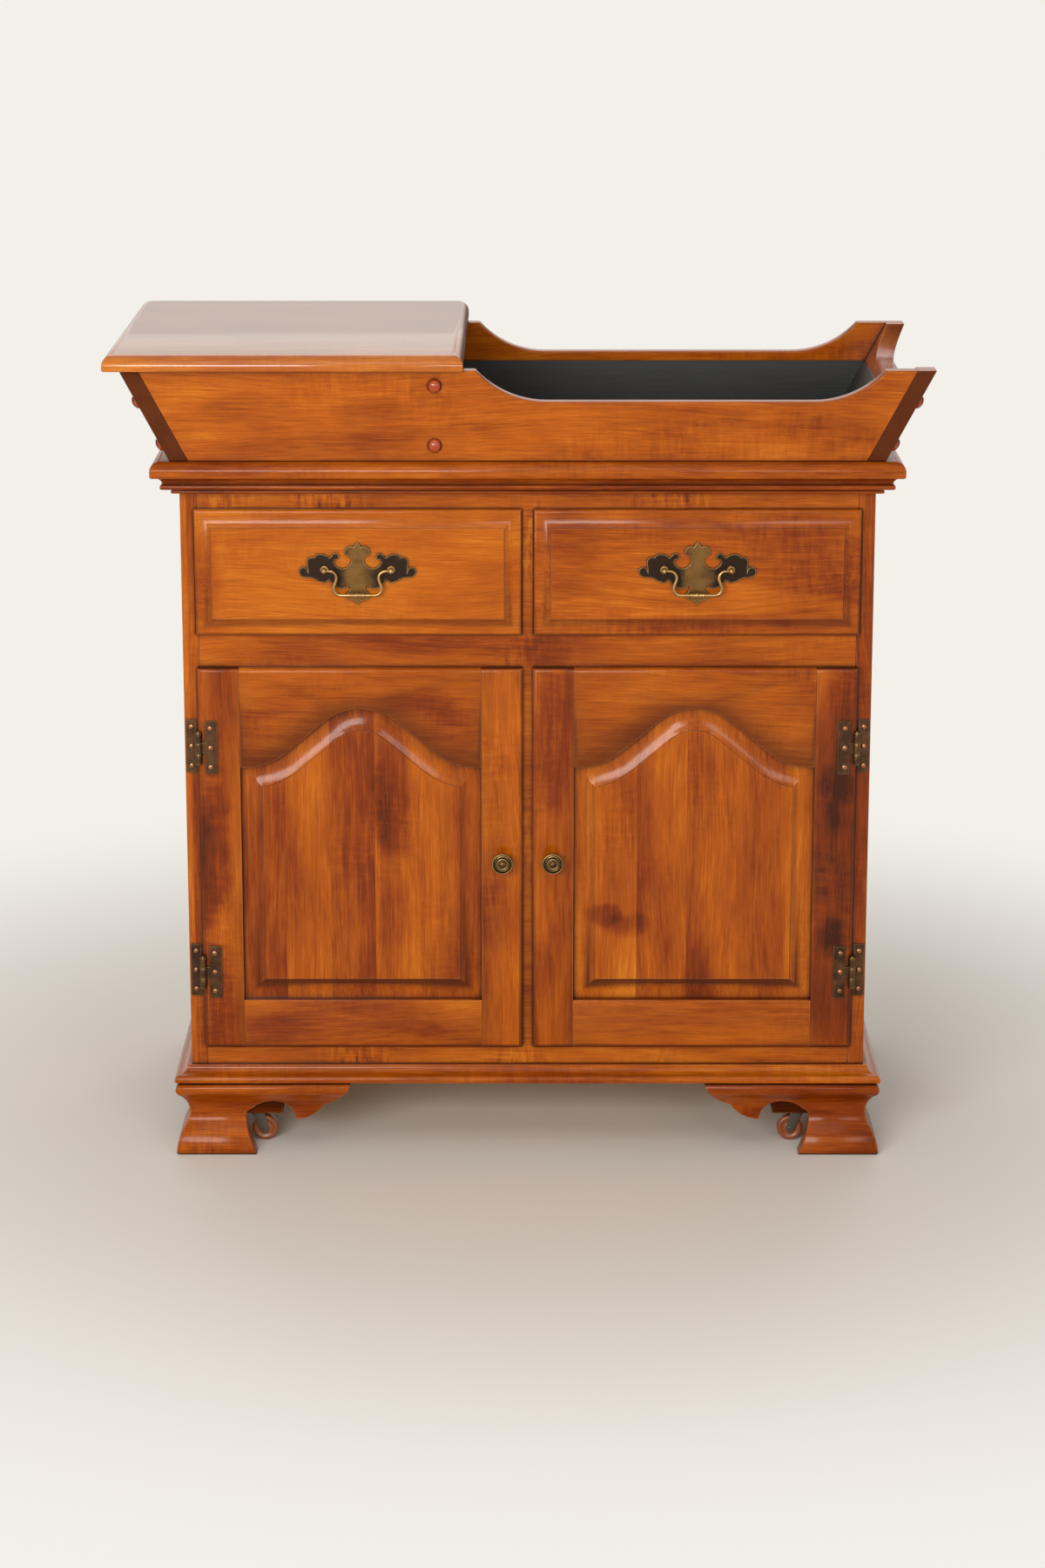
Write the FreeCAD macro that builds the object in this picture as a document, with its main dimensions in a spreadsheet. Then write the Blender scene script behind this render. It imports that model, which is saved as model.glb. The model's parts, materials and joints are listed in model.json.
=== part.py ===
import FreeCAD, Part
import math
import os
import Sketcher

# A maple dry sink: cupboard and two drawers below, a splayed trough with a hinged lid on top.
# Lengths are millimetres and angles degrees. X runs to the right, Y to the rear and Z up.
# Drawing coordinates: X = 0 at the middle of the case, Y = 0 at the front of the face frame,
# Z = 0 at the floor. Every finished piece is then moved so that the origin lies under the
# middle of the whole cabinet.

os.makedirs("parts", exist_ok=True)
doc = FreeCAD.newDocument("dry_sink")

SIZES = {
    # Heights as a stack, from the floor up: what shows between one joint and the next.
    "foot_height": 88.3,
    "base_thick": 19.7,
    "bottom_rail_show": 22.2,
    "door_height": 457.6,
    "middle_rail_show": 37.8,
    "drawer_height": 146.4,
    "top_rail_show": 18.4,
    "cornice_height": 20.6,
    "waist_thick": 19.0,
    "well_height": 102.6,
    "lid_thick": 19.0,
    # Carcase.
    "case_width": 792.0,
    "case_depth": 441.0,
    "side_thick": 19.0,
    "rail_thick": 19.0,
    "shelf_thick": 19.0,
    "deck_thick": 12.0,
    "back_thick": 6.0,
    "dado_depth": 6.0,
    "rabbet_depth": 9.5,
    "shelf_level": 345.0,
    "shelf_setback": 45.0,
    "guide_height": 30.0,
    "kicker_width": 80.0,
    # Lipped doors and drawer fronts.
    "lip": 9.5,
    "lip_thick": 9.5,
    "inset_thick": 9.5,
    "fit_gap": 1.0,
    "run_gap": 0.3,
    "door_gap": 11.8,
    "drawer_gap": 12.8,
    "door_side_lip": 2.5,
    "drawer_side_lip": 3.8,
    "edge_round": 5.0,
    # Door frame and its arched head.
    "stile_width": 47.5,
    "door_rail_width": 58.8,
    "head_width": 48.3,
    "arch_rise": 69.2,
    "arch_crown": 65.0,
    "arch_shoulder": 70.0,
    "arch_slope": 40.0,
    "arch_level": 7.68,
    "groove_depth": 9.0,
    "groove_width": 5.2,
    "groove_set": 7.9,
    "panel_play": 0.8,
    "panel_border": 25.5,
    "panel_field": 2.0,
    "field_step": 1.5,
    "panel_flat": 1.5,
    "cove_radius": 40.0,
    # Drawer fronts and boxes.
    "field_height": 3.2,
    "drawer_border": 20.5,
    "drawer_edge": 7.0,
    "drawer_round": 3.9,
    "drawer_cove_radius": 34.0,
    "drawer_rear_gap": 35.0,
    "drawer_side_thick": 12.0,
    "drawer_bottom_thick": 6.0,
    "drawer_bottom_rise": 10.0,
    "drawer_groove": 5.0,
    # Waist board, well and lid.
    "waist_side": 31.0,
    "waist_front": 31.0,
    "waist_top_round": 11.0,
    "waist_bottom_round": 3.0,
    "well_front": 20.0,
    "well_rear": 41.0,
    "well_foot": 9.0,
    "well_splay": 28.1,
    "well_thick": 19.0,
    "scoop_left": 58.7,
    "scoop_right": 35.0,
    "scoop_depth": 35.3,
    "scoop_run": 80.0,
    "scoop_ear": 30.0,
    "scoop_ease": 1.5,
    "divider_place": 105.0,
    "liner_height": 56.0,
    "liner_thick": 1.5,
    "lid_side": 18.0,
    "lid_front": 12.5,
    "lid_reach": 23.0,
    "lid_round": 13.0,
    "lid_ease": 1.5,
    # Mouldings and feet, as projections from the case.
    "bead_out": 19.5,
    "base_bead": 9.7,
    "base_top_out": 5.0,
    "base_board": 60.0,
    "cornice_low_out": 9.0,
    "cornice_out": 20.5,
    "cornice_top_out": 24.0,
    "small_bead": 4.8,
    "large_bead": 6.4,
    "bead_step": 1.4,
    "bead_hollow": 12.0,
    "cornice_cove": 11.0,
    "foot_top_out": 13.0,
    "foot_bulge": 15.0,
    "foot_waist": 8.7,
    "foot_flare": 18.5,
    "foot_waist_level": 33.0,
    "foot_bulge_level": 73.0,
    "foot_hollow": 54.0,
    "toe_bevel": 2.0,
    "foot_inside": 6.0,
    "foot_length": 188.0,
    "foot_width": 76.0,
    "scroll_end": 42.0,
    "brace_width": 60.0,
    "brace_foot": 26.0,
    # Casters and their corner blocks.
    "wheel_radius": 15.5,
    "wheel_width": 12.0,
    "wheel_chamfer": 2.5,
    "trail": 9.0,
    "caster_clear": 34.0,
    "caster_inset": 73.5,
    "block_bottom": 44.0,
    "block_width": 100.0,
    "block_depth": 68.0,
    "stem_radius": 4.0,
    "stem_length": 30.0,
    "bore_clear": 0.6,
    "axle_radius": 2.0,
    "axle_head": 0.8,
    "fork_thick": 1.6,
    "fork_gap": 0.6,
    "fork_eye": 3.0,
    "fork_toe": 8.8,
    "fork_heel": 6.4,
    "crown_clear": 2.0,
    "stem_seat": 0.5,
    # Hinges.
    "hinge_length": 62.5,
    "knuckle_length": 38.0,
    "hinge_inset": 93.7,
    "leaf_thick": 1.6,
    "case_leaf_width": 11.6,
    "door_leaf_width": 13.7,
    "knuckle_radius": 3.8,
    "pin_radius": 1.6,
    "pin_stand_off": 2.9,
    "leaf_start": 3.0,
    "door_leaf_start": 8.0,
    "pin_play": 0.05,
    "knuckle_gap": 0.3,
    "pin_end": 1.0,
    "lid_hinge_length": 60.0,
    "lid_hinge_outer": 120.0,
    "lid_hinge_inner": 42.0,
    "lid_leaf_gap": 0.5,
    "lid_leaf_width": 27.0,
    "lid_leaf_thick": 1.5,
    "lid_knuckle_radius": 3.0,
    "lid_pin_radius": 1.2,
    # Knobs, catches and drawer pulls.
    "knob_radius": 12.5,
    "knob_reach": 24.0,
    "knob_level": 229.8,
    "knob_inset": 23.3,
    "catch_width": 32.0,
    "catch_height": 14.0,
    "catch_depth": 20.0,
    "catch_inset": 5.0,
    "pull_boring": 76.2,
    "pull_rise": 5.2,
    "plate_thick": 1.8,
    "post_reach": 12.0,
    "post_radius": 2.2,
    "post_head": 3.4,
    "head_chamfer": 1.6,
    "post_base": 5.0,
    "post_base_thick": 1.6,
    "bail_radius": 1.9,
    "bail_end_radius": 1.3,
    "bail_drop": 28.0,
    "bail_bend": 8.0,
    "bail_neck": 24.0,
    "bail_slant": 20.0,
    "bail_clear": 0.5,
}

sheet = doc.addObject("Spreadsheet::Sheet", "Sizes")
for row, (alias, number) in enumerate(SIZES.items(), start=1):
    sheet.set("A%d" % row, alias)
    sheet.set("B%d" % row, str(number))
    sheet.setAlias("B%d" % row, alias)
doc.recompute()


class Size:
    """A number with the spreadsheet expression that drives it."""

    def __init__(self, value, text):
        self.value = float(value)
        self.text = text

    def __add__(self, other):
        other = size(other)
        return Size(self.value + other.value, "(%s + %s)" % (self.text, other.text))

    def __sub__(self, other):
        other = size(other)
        return Size(self.value - other.value, "(%s - %s)" % (self.text, other.text))

    def __mul__(self, other):
        other = size(other)
        return Size(self.value * other.value, "(%s * %s)" % (self.text, other.text))

    def __truediv__(self, other):
        other = size(other)
        return Size(self.value / other.value, "(%s / %s)" % (self.text, other.text))

    def __radd__(self, other):
        return size(other) + self

    def __rsub__(self, other):
        return size(other) - self

    def __rmul__(self, other):
        return size(other) * self

    def __neg__(self):
        return Size(-self.value, "(-%s)" % self.text)


def size(number):
    """A plain number as a Size; a Size stays as it is."""
    return number if isinstance(number, Size) else Size(number, repr(float(number)))


def cell(alias):
    """The named cell of the sheet."""
    return Size(SIZES[alias], "Sizes.%s" % alias)


def sine(angle):
    return Size(math.sin(math.radians(angle.value)), "sin(%s)" % angle.text)


def cosine(angle):
    return Size(math.cos(math.radians(angle.value)), "cos(%s)" % angle.text)


def tangent(angle):
    return Size(math.tan(math.radians(angle.value)), "tan(%s)" % angle.text)


def bind(thing, path, length):
    """Drive one property of an object by an expression."""
    thing.setExpression(path, size(length).text)


# ---------------------------------------------------------------- drawing helpers

# Each principal plane of a body, with the side of the drawing that its normal points to.
NORMALS = {"XY": 1, "XZ": -1, "YZ": 1}
RIGHT_CORNER = "Right corner"
TANGENT = "tangent"
# How far a cutting outline reaches past the face that it cuts.
OVERCUT = 1.0


def new_body(name):
    return doc.addObject("PartDesign::Body", name)


def new_sketch(body, name, plane, level=0.0):
    """A sketch on one of the body's origin planes, or parallel to it at the given level."""
    sketch = body.newObject("Sketcher::SketchObject", name)
    origin_plane = next(f for f in body.Origin.OriginFeatures if f.Role == plane + "_Plane")
    sketch.AttachmentSupport = [(origin_plane, "")]
    sketch.MapMode = "FlatFace"
    offset = size(level) * NORMALS[plane]
    sketch.AttachmentOffset = FreeCAD.Placement(FreeCAD.Vector(0, 0, offset.value), FreeCAD.Rotation())
    bind(sketch, ".AttachmentOffset.Base.z", offset)
    return sketch


def arc_geometry(start, end, radius):
    """The arc from start to end; a positive radius turns left. Returns it and its end heading."""
    chord = end - start
    half = chord.Length / 2
    left = FreeCAD.Vector(-chord.y, chord.x, 0).normalize()
    rise = math.sqrt(max(radius * radius - half * half, 0.0))
    turn = 1 if radius > 0 else -1
    centre = (start + end) / 2 + left * (turn * rise)
    first, last = (start, end) if turn > 0 else (end, start)
    angles = [math.atan2(p.y - centre.y, p.x - centre.x) for p in (first, last)]
    circle = Part.Circle(centre, FreeCAD.Vector(0, 0, 1), abs(radius))
    spoke = (end - centre).normalize()
    heading = FreeCAD.Vector(-spoke.y, spoke.x, 0) * turn
    return Part.ArcOfCircle(circle, angles[0], angles[1]), heading


def draw(sketch, path, closed=True):
    """Lines and arcs through a path. A step is (x, y) for a line, or (x, y, bend) for an arc.

    The bend is the arc's radius, positive where the path turns left, or TANGENT for an arc that
    leaves the step before it smoothly. A bend on the first step is that of the closing edge.
    Every corner is pinned to its place by two dimensions.
    """
    corners = [(size(step[0]), size(step[1])) for step in path]
    bends = [step[2] if len(step) > 2 else None for step in path]
    if closed:
        corners.append(corners[0])
        bends.append(bends[0])
    count = len(corners) - 1
    heading = None
    ends = []
    for i in range(count):
        start = FreeCAD.Vector(corners[i][0].value, corners[i][1].value, 0)
        end = FreeCAD.Vector(corners[i + 1][0].value, corners[i + 1][1].value, 0)
        bend = bends[i + 1]
        if bend is None:
            sketch.addGeometry(Part.LineSegment(start, end))
            heading = (end - start).normalize()
            ends.append((1, 2))
            continue
        if bend == TANGENT:
            left = FreeCAD.Vector(-heading.y, heading.x, 0)
            chord = end - start
            radius = chord.Length ** 2 / (2 * chord.dot(left))
        else:
            radius = size(bend).value
        arc, heading = arc_geometry(start, end, radius)
        sketch.addGeometry(arc)
        ends.append((1, 2) if radius > 0 else (2, 1))
    rules = []
    drivers = []

    def rule(constraint, driver=None):
        rules.append(constraint)
        drivers.append(driver)

    for i in range(count):
        if i > 0 or closed:
            before = (i - 1) % count
            smooth = bends[i + 1] == TANGENT
            kind = "Tangent" if smooth else "Coincident"
            rule(Sketcher.Constraint(kind, before, ends[before][1], i, ends[i][0]))
        bend = bends[i + 1]
        if bend is not None and bend != TANGENT:
            length = size(bend) if size(bend).value > 0 else -size(bend)
            rule(Sketcher.Constraint("Radius", i, length.value), length)
    pinned = [(i, ends[i][0], corners[i]) for i in range(count)]
    if not closed:
        pinned.append((count - 1, ends[-1][1], corners[-1]))
    for edge, end, (across, up) in pinned:
        rule(Sketcher.Constraint("DistanceX", -1, 1, edge, end, across.value), across)
        rule(Sketcher.Constraint("DistanceY", -1, 1, edge, end, up.value), up)
    sketch.addConstraint(rules)
    for number, driver in enumerate(drivers):
        if driver is not None:
            bind(sketch, "Constraints[%d]" % number, driver)
    return sketch


def ring(sketch, across, up, radius):
    """A circle pinned by its centre and radius."""
    across, up, radius = size(across), size(up), size(radius)
    centre = FreeCAD.Vector(across.value, up.value, 0)
    edge = sketch.addGeometry(Part.Circle(centre, FreeCAD.Vector(0, 0, 1), radius.value))
    rules = [
        (Sketcher.Constraint("DistanceX", -1, 1, edge, 3, across.value), across),
        (Sketcher.Constraint("DistanceY", -1, 1, edge, 3, up.value), up),
        (Sketcher.Constraint("Radius", edge, radius.value), radius),
    ]
    for constraint, driver in rules:
        bind(sketch, "Constraints[%d]" % sketch.addConstraint(constraint), driver)
    return sketch


def rectangle(x0, y0, x1, y1):
    return [(x0, y0), (x1, y0), (x1, y1), (x0, y1)]


def prism(body, name, plane, start, end, path, cut=False):
    """Pad or pocket a closed outline between two levels of a principal plane."""
    start, end = size(start), size(end)
    sketch = new_sketch(body, name + "_outline", plane, start)
    if isinstance(path, dict):
        ring(sketch, path["x"], path["y"], path["r"])
    else:
        draw(sketch, path)
    feature = body.newObject("PartDesign::Pocket" if cut else "PartDesign::Pad", name)
    feature.Profile = sketch
    forward = end.value > start.value
    with_normal = forward == (NORMALS[plane] > 0)
    feature.Reversed = with_normal if cut else not with_normal
    bind(feature, "Length", end - start if forward else start - end)
    sketch.Visibility = False
    return feature


def swept(body, name, kind, spine, profile):
    """Sweep a profile along a path, with sharp mitred corners."""
    feature = body.newObject("PartDesign::" + kind, name)
    feature.Profile = profile
    feature.Spine = spine
    feature.Transition = RIGHT_CORNER
    return feature


def turned(body, name, path, plane, axis):
    """Revolve a half profile about an axis of its sketch."""
    sketch = new_sketch(body, name + "_outline", plane)
    draw(sketch, path)
    feature = body.newObject("PartDesign::Revolution", name)
    feature.Profile = sketch
    feature.ReferenceAxis = (sketch, [axis])
    feature.Angle = 360
    return feature


def eased(body, name, kind, length, chosen):
    """Round or chamfer the edges of the body that the test picks."""
    doc.recompute()
    before = body.Tip
    edges = ["Edge%d" % (i + 1) for i, edge in enumerate(before.Shape.Edges) if chosen(edge)]
    feature = body.newObject("PartDesign::" + kind, name)
    feature.Base = (before, edges)
    bind(feature, "Radius" if kind == "Fillet" else "Size", length)
    return feature


def near(number, length):
    return abs(number - size(length).value) < 0.01


def block(name, x0, x1, y0, y1, z0, z1):
    """A plain rectangular board between two corners."""
    board = doc.addObject("Part::Box", name)
    for side, (low, high) in zip(("Length", "Width", "Height"), ((x0, x1), (y0, y1), (z0, z1))):
        bind(board, side, size(high) - low)
    move(board, x0, y0, z0)
    return board


AXIS_TURNS = {
    "X": FreeCAD.Rotation(FreeCAD.Vector(0, 1, 0), 90),
    "Y": FreeCAD.Rotation(FreeCAD.Vector(1, 0, 0), -90),
    "Z": FreeCAD.Rotation(),
}
SMALL_COUNT = 12
LARGE_COUNT = 24


def rod(name, radius, length, x, y, z, axis="Z"):
    """A small round bar, drawn with flats, that starts at a point and runs along an axis."""
    bar = doc.addObject("Part::Prism", name)
    bar.Polygon = SMALL_COUNT
    bind(bar, "Circumradius", radius)
    bind(bar, "Height", length)
    bar.Placement = FreeCAD.Placement(FreeCAD.Vector(), AXIS_TURNS[axis])
    move(bar, x, y, z)
    return bar


def hole(name, radius, length, x, y, z, axis="Z"):
    """The cutter for a bore whose flats all clear a rod of the given radius."""
    clear = (radius + cell("pin_play")) / cosine(size(180 / SMALL_COUNT))
    return rod(name, clear, length, x, y, z, axis)


def lathed(name, x, y, z, steps, flats=SMALL_COUNT):
    """A turned piece about the Y axis, drawn with flats; each step is (distance forward, radius).

    All that lies outside the outline is swept off a blank, round a path with a corner per flat.
    """
    body = new_body(name)
    widest = max((radius for _, radius in steps), key=lambda radius: radius.value)
    back = OVERCUT - steps[0][0]
    front = -OVERCUT - steps[-1][0]
    rim = widest + OVERCUT
    reach = rim / cosine(size(180 / flats))
    turns = [size(360 / flats * (i + 0.5)) for i in range(flats)]
    corners = [(reach * sine(turn), reach * cosine(turn)) for turn in turns]
    prism(body, name + "_blank", "XZ", -steps[0][0], -steps[-1][0], corners)
    round_path = draw(new_sketch(body, name + "_path", "XZ"), [(0, rim)] + corners)
    waste = [(back, steps[0][1])] + [(-along, radius) for along, radius in steps]
    waste += [(front, steps[-1][1]), (front, rim + OVERCUT), (back, rim + OVERCUT)]
    profile = draw(new_sketch(body, name + "_waste", "YZ"), waste)
    swept(body, name + "_turning", "SubtractivePipe", round_path, profile)
    move(body, x, y, z)
    return body


PLACES = {}


def move(thing, x, y, z):
    """Place a piece in drawing coordinates."""
    PLACES[thing.Name] = (size(x), size(y), size(z))
    for path, length in zip(("x", "y", "z"), (x, y, z)):
        bind(thing, ".Placement.Base." + path, length)


def mirror(source, name, across=0.0, normal=(1, 0, 0)):
    """The mirror image of a piece in the plane X = across, or in the one that normal names."""
    image = doc.addObject("Part::Mirroring", name)
    image.Source = source
    image.Normal = FreeCAD.Vector(normal)
    axis = "xyz"[normal.index(1)]
    bind(image, ".Base." + axis, across)
    return image


def both_sides(pieces):
    """Pieces of the left side and their mirror images on the right."""
    return pieces + [mirror(piece, piece.Name + "_right") for piece in pieces]


def group(name, pieces):
    """Several separate solids that share a node."""
    compound = doc.addObject("Part::Compound", name)
    compound.Links = pieces
    return compound


def joined(name, pieces):
    """Pieces fused into one solid."""
    fusion = doc.addObject("Part::MultiFuse", name)
    fusion.Shapes = pieces
    fusion.Refine = True
    return fusion


def less(name, base, tool):
    """A piece with another cut out of it."""
    cut = doc.addObject("Part::Cut", name)
    cut.Base = base
    cut.Tool = tool
    cut.Refine = True
    return cut


NODES = []


def finish(piece, name):
    """Name a piece as a node and move it from drawing coordinates into the cabinet's frame."""
    piece.Label = name
    if piece.TypeId == "Part::Mirroring":
        bind(piece, ".Base.x", origin_x)
    else:
        x, y, z = PLACES.get(piece.Name, (size(0), size(0), size(0)))
        move(piece, x + origin_x, y + origin_y, z)
    NODES.append(piece)
    return piece


# ---------------------------------------------------------------- levels and faces

half = cell("case_width") / 2
inner = half - cell("side_thick")
depth = cell("case_depth")
rail_back = cell("rail_thick")
back_front = depth - cell("back_thick")

base_top = cell("foot_height") + cell("base_thick")
door_bottom = base_top + cell("bottom_rail_show")
door_top = door_bottom + cell("door_height")
drawer_bottom = door_top + cell("middle_rail_show")
drawer_top = drawer_bottom + cell("drawer_height")
cornice_bottom = drawer_top + cell("top_rail_show")
case_top = cornice_bottom + cell("cornice_height")
waist_top = case_top + cell("waist_thick")
well_top = waist_top + cell("well_height")
lid_top = well_top + cell("lid_thick")

# The openings that the lips cover, and where the door and drawer bodies stop inside them.
lip = cell("lip")
floor_level = door_bottom + lip
door_head = door_top - lip
deck_level = drawer_bottom + lip
drawer_head = drawer_top - lip
mullion_half = cell("door_gap") / 2 + lip
divider_half = cell("drawer_gap") / 2 + lip

# The splayed ends of the well.
splay_run = cell("well_height") * tangent(cell("well_splay"))
end_run = cell("well_thick") / cosine(cell("well_splay"))
well_foot_x = half + cell("well_foot")
well_top_x = well_foot_x + splay_run
well_front_y = -cell("well_front")
well_back_y = depth - cell("well_rear")
lid_left = -(well_top_x + cell("lid_side"))

# The pull's front and the cabinet's rear are the limits of the whole in Y.
plate_face = -(cell("lip_thick") + cell("field_height"))
plate_front = plate_face - cell("plate_thick")
post_y = plate_front - cell("post_reach") + cell("post_head")
knob_front = -(cell("lip_thick") + cell("knob_reach"))
origin_x = -(well_top_x + lid_left) / 2
origin_y = -(depth + knob_front) / 2


# ---------------------------------------------------------------- carcase

def side_panel():
    """A side with dadoes for the floor, shelf and deck, and a rabbet for the back."""
    side = new_body("side_panel")
    prism(side, "board", "YZ", -half, -inner, rectangle(0, base_top, depth, case_top))
    seats = {
        "floor_dado": (rail_back, floor_level - cell("shelf_thick"), floor_level),
        "shelf_dado": (cell("shelf_setback"), cell("shelf_level"), cell("shelf_level") + cell("shelf_thick")),
        "deck_dado": (rail_back, deck_level - cell("deck_thick"), deck_level),
    }
    dado_bottom = -(inner + cell("dado_depth"))
    for name, (front, low, high) in seats.items():
        prism(side, name, "YZ", -inner, dado_bottom, rectangle(front, low, back_front, high), cut=True)
    rabbet = rectangle(back_front, base_top, depth, case_top)
    prism(side, "back_rabbet", "YZ", -inner, -(inner + cell("rabbet_depth")), rabbet, cut=True)
    return side


side_left = finish(side_panel(), "side_panel_left")
finish(mirror(side_left, "side_right"), "side_panel_right")

rabbet_x = inner + cell("rabbet_depth")
finish(block("back", -rabbet_x, rabbet_x, back_front, depth, base_top, case_top), "case_back")

dado_x = inner + cell("dado_depth")
floor_low = floor_level - cell("shelf_thick")
finish(block("bottom", -dado_x, dado_x, rail_back, back_front, floor_low, floor_level), "case_bottom")

shelf_top = cell("shelf_level") + cell("shelf_thick")
shelf_front = cell("shelf_setback")
shelf = block("shelf", -dado_x, dado_x, shelf_front, back_front, cell("shelf_level"), shelf_top)
finish(shelf, "cupboard_shelf")

deck_low = deck_level - cell("deck_thick")
finish(block("deck", -dado_x, dado_x, rail_back, back_front, deck_low, deck_level), "drawer_deck")

# Face frame: three rails between the sides, the mullion between the doors and the drawer divider.
finish(group("frame", [
    block("bottom_rail", -inner, inner, 0, rail_back, base_top, floor_level),
    block("middle_rail", -inner, inner, 0, rail_back, door_head, deck_level),
    block("top_rail", -inner, inner, 0, rail_back, drawer_head, case_top),
    block("mullion", -mullion_half, mullion_half, 0, rail_back, floor_level, door_head),
    block("drawer_divider", -divider_half, divider_half, 0, rail_back, deck_level, drawer_head),
]), "face_frame")

# A guide between the drawers, and a kicker over them that stops them from tipping.
kicker_half = cell("kicker_width") / 2
guide_top = deck_level + cell("guide_height")
kicker_top = drawer_head + cell("rail_thick")
finish(group("guides", [
    block("guide", -divider_half, divider_half, rail_back, back_front, deck_level, guide_top),
    block("kicker", -kicker_half, kicker_half, rail_back, back_front, drawer_head, kicker_top),
]), "drawer_guides")


# ---------------------------------------------------------------- mouldings, base and feet

def along_front(out):
    """Y of a point that stands out from the front of the case."""
    return -size(out)


def along_side(out):
    """X of a point that stands out from the left side of the case."""
    return -half - out


def run(name, side, start, end, profile):
    """A length of moulding on the front or left side, drawn as (projection, height) steps."""
    piece = new_body(name)
    place = along_front if side == "front" else along_side
    path = [(place(step[0]), step[1]) + tuple(step[2:]) for step in profile]
    prism(piece, "length", "YZ" if side == "front" else "XZ", start, end, path)
    return piece


def mitre(piece, side, hand, out, inside, low, high):
    """Cut the end of a moulding at 45 degrees, through the corner of the case."""
    corner = [(-half - out, -size(out)), (-half + inside, size(inside))]
    waste = (-half - out, size(inside)) if side == "front" else (-half + inside, -size(out))
    triangle = [(x * hand, y) for x, y in corner + [waste]]
    prism(piece, "mitre_%s" % ("left" if hand > 0 else "right"), "XY", low, high, triangle, cut=True)


def moulding(name, profile, out, inside, low, high):
    """Three mitred lengths round the front and sides of the case."""
    reach = half + out
    front = run(name + "_front", "front", -reach, reach, profile)
    mitre(front, "front", 1, out, inside, low, high)
    mitre(front, "front", -1, out, inside, low, high)
    left = run(name + "_left", "left", -size(out), depth, profile)
    mitre(left, "left", 1, out, inside, low, high)
    return [front, left, mirror(left, name + "_right")]


# Base frame: a bead below a cove on the edge of flat boards that carry the case.
foot_top = cell("foot_height")
bead = cell("base_bead") / 2
bead_in = cell("bead_out") - bead
base_profile = [
    (-cell("base_board"), foot_top),
    (bead_in, foot_top),
    (cell("bead_out"), foot_top + bead, -bead),
    (bead_in, foot_top + bead * 2, -bead),
    (cell("base_top_out"), base_top, base_top - foot_top - bead * 2),
    (-cell("base_board"), base_top),
]
base_boards = moulding("base", base_profile, cell("bead_out"), cell("base_board"), foot_top, base_top)
base_inner = half - cell("base_board")
rear_rail_front = depth - cell("base_board")
base_boards.append(block("base_rear", -base_inner, base_inner, rear_rail_front, depth, foot_top, base_top))
finish(group("base", base_boards), "base_frame")

# Cornice: a small bead, a large one and a cove under the waist board.
small_bead = cell("small_bead") / 2
large_bead = cell("large_bead") / 2
small_in = cell("cornice_low_out") - small_bead
large_in = cell("cornice_out") - large_bead
large_low = cornice_bottom + cell("small_bead") + cell("bead_step")
large_high = large_low + cell("large_bead")
cornice_profile = [
    (0, cornice_bottom),
    (small_in, cornice_bottom),
    (cell("cornice_low_out"), cornice_bottom + small_bead, -small_bead),
    (small_in, cornice_bottom + cell("small_bead"), -small_bead),
    (large_in, large_low, cell("bead_hollow")),
    (cell("cornice_out"), large_low + large_bead, -large_bead),
    (large_in, large_high, -large_bead),
    (cell("cornice_top_out"), case_top, cell("cornice_cove")),
    (0, case_top),
]
cornice = moulding("cornice", cornice_profile, cell("cornice_top_out"), 0, cornice_bottom, case_top)
finish(group("cornice", cornice), "cornice_moulding")

# Bracket feet: an ogee face with a flared toe, the lower edge cut to a scroll.
foot_profile = [
    (-cell("foot_inside"), 0),
    (cell("foot_flare") - cell("toe_bevel"), 0),
    (cell("foot_flare"), cell("toe_bevel")),
    (cell("foot_waist"), cell("foot_waist_level"), -cell("foot_hollow")),
    (cell("foot_bulge"), cell("foot_bulge_level"), TANGENT),
    (cell("foot_top_out"), foot_top, TANGENT),
    (-cell("foot_inside"), foot_top),
]
foot_out = cell("foot_flare") + OVERCUT
# The scroll's steps inward from the foot: distance, height and bend.
SCROLL = [
    (-13.0, 42.0, 120.0),
    (-6.0, 52.5, 9.0),
    (22.0, 63.0, 35.0),
    (46.5, 40.2, 26.0),
    (80.7, 59.2, -40.0),
]


def scroll(origin, way):
    """The waste under a bracket, from the foot's inner edge to the bracket's end.

    The origin is the corner of the case and way is the direction of the bracket from it. The
    steps of the scroll are measured from the inner edge of the foot.
    """
    start = cell("foot_width")
    path = [(origin + start * way, 0)]
    path += [(origin + (start + x) * way, z, -radius * way) for x, z, radius in SCROLL]
    path.append((origin + cell("foot_length") * way, foot_top, cell("scroll_end") * way))
    path.append((origin + cell("foot_length") * way, 0))
    return path


def bracket(name, side, origin, way, mitred):
    """One face of a foot, from the corner of the case along the front or the side."""
    start = origin - foot_out * way if mitred else size(origin)
    piece = run(name, side, start, origin + cell("foot_length") * way, foot_profile)
    if side == "front":
        prism(piece, "scroll", "XZ", cell("foot_inside"), -foot_out, scroll(origin, way), cut=True)
    else:
        inside = -half + cell("foot_inside")
        prism(piece, "scroll", "YZ", inside, -half - foot_out, scroll(origin, way), cut=True)
    if mitred:
        mitre(piece, side, 1, foot_out, cell("foot_inside"), 0, foot_top)
    return piece


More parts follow.
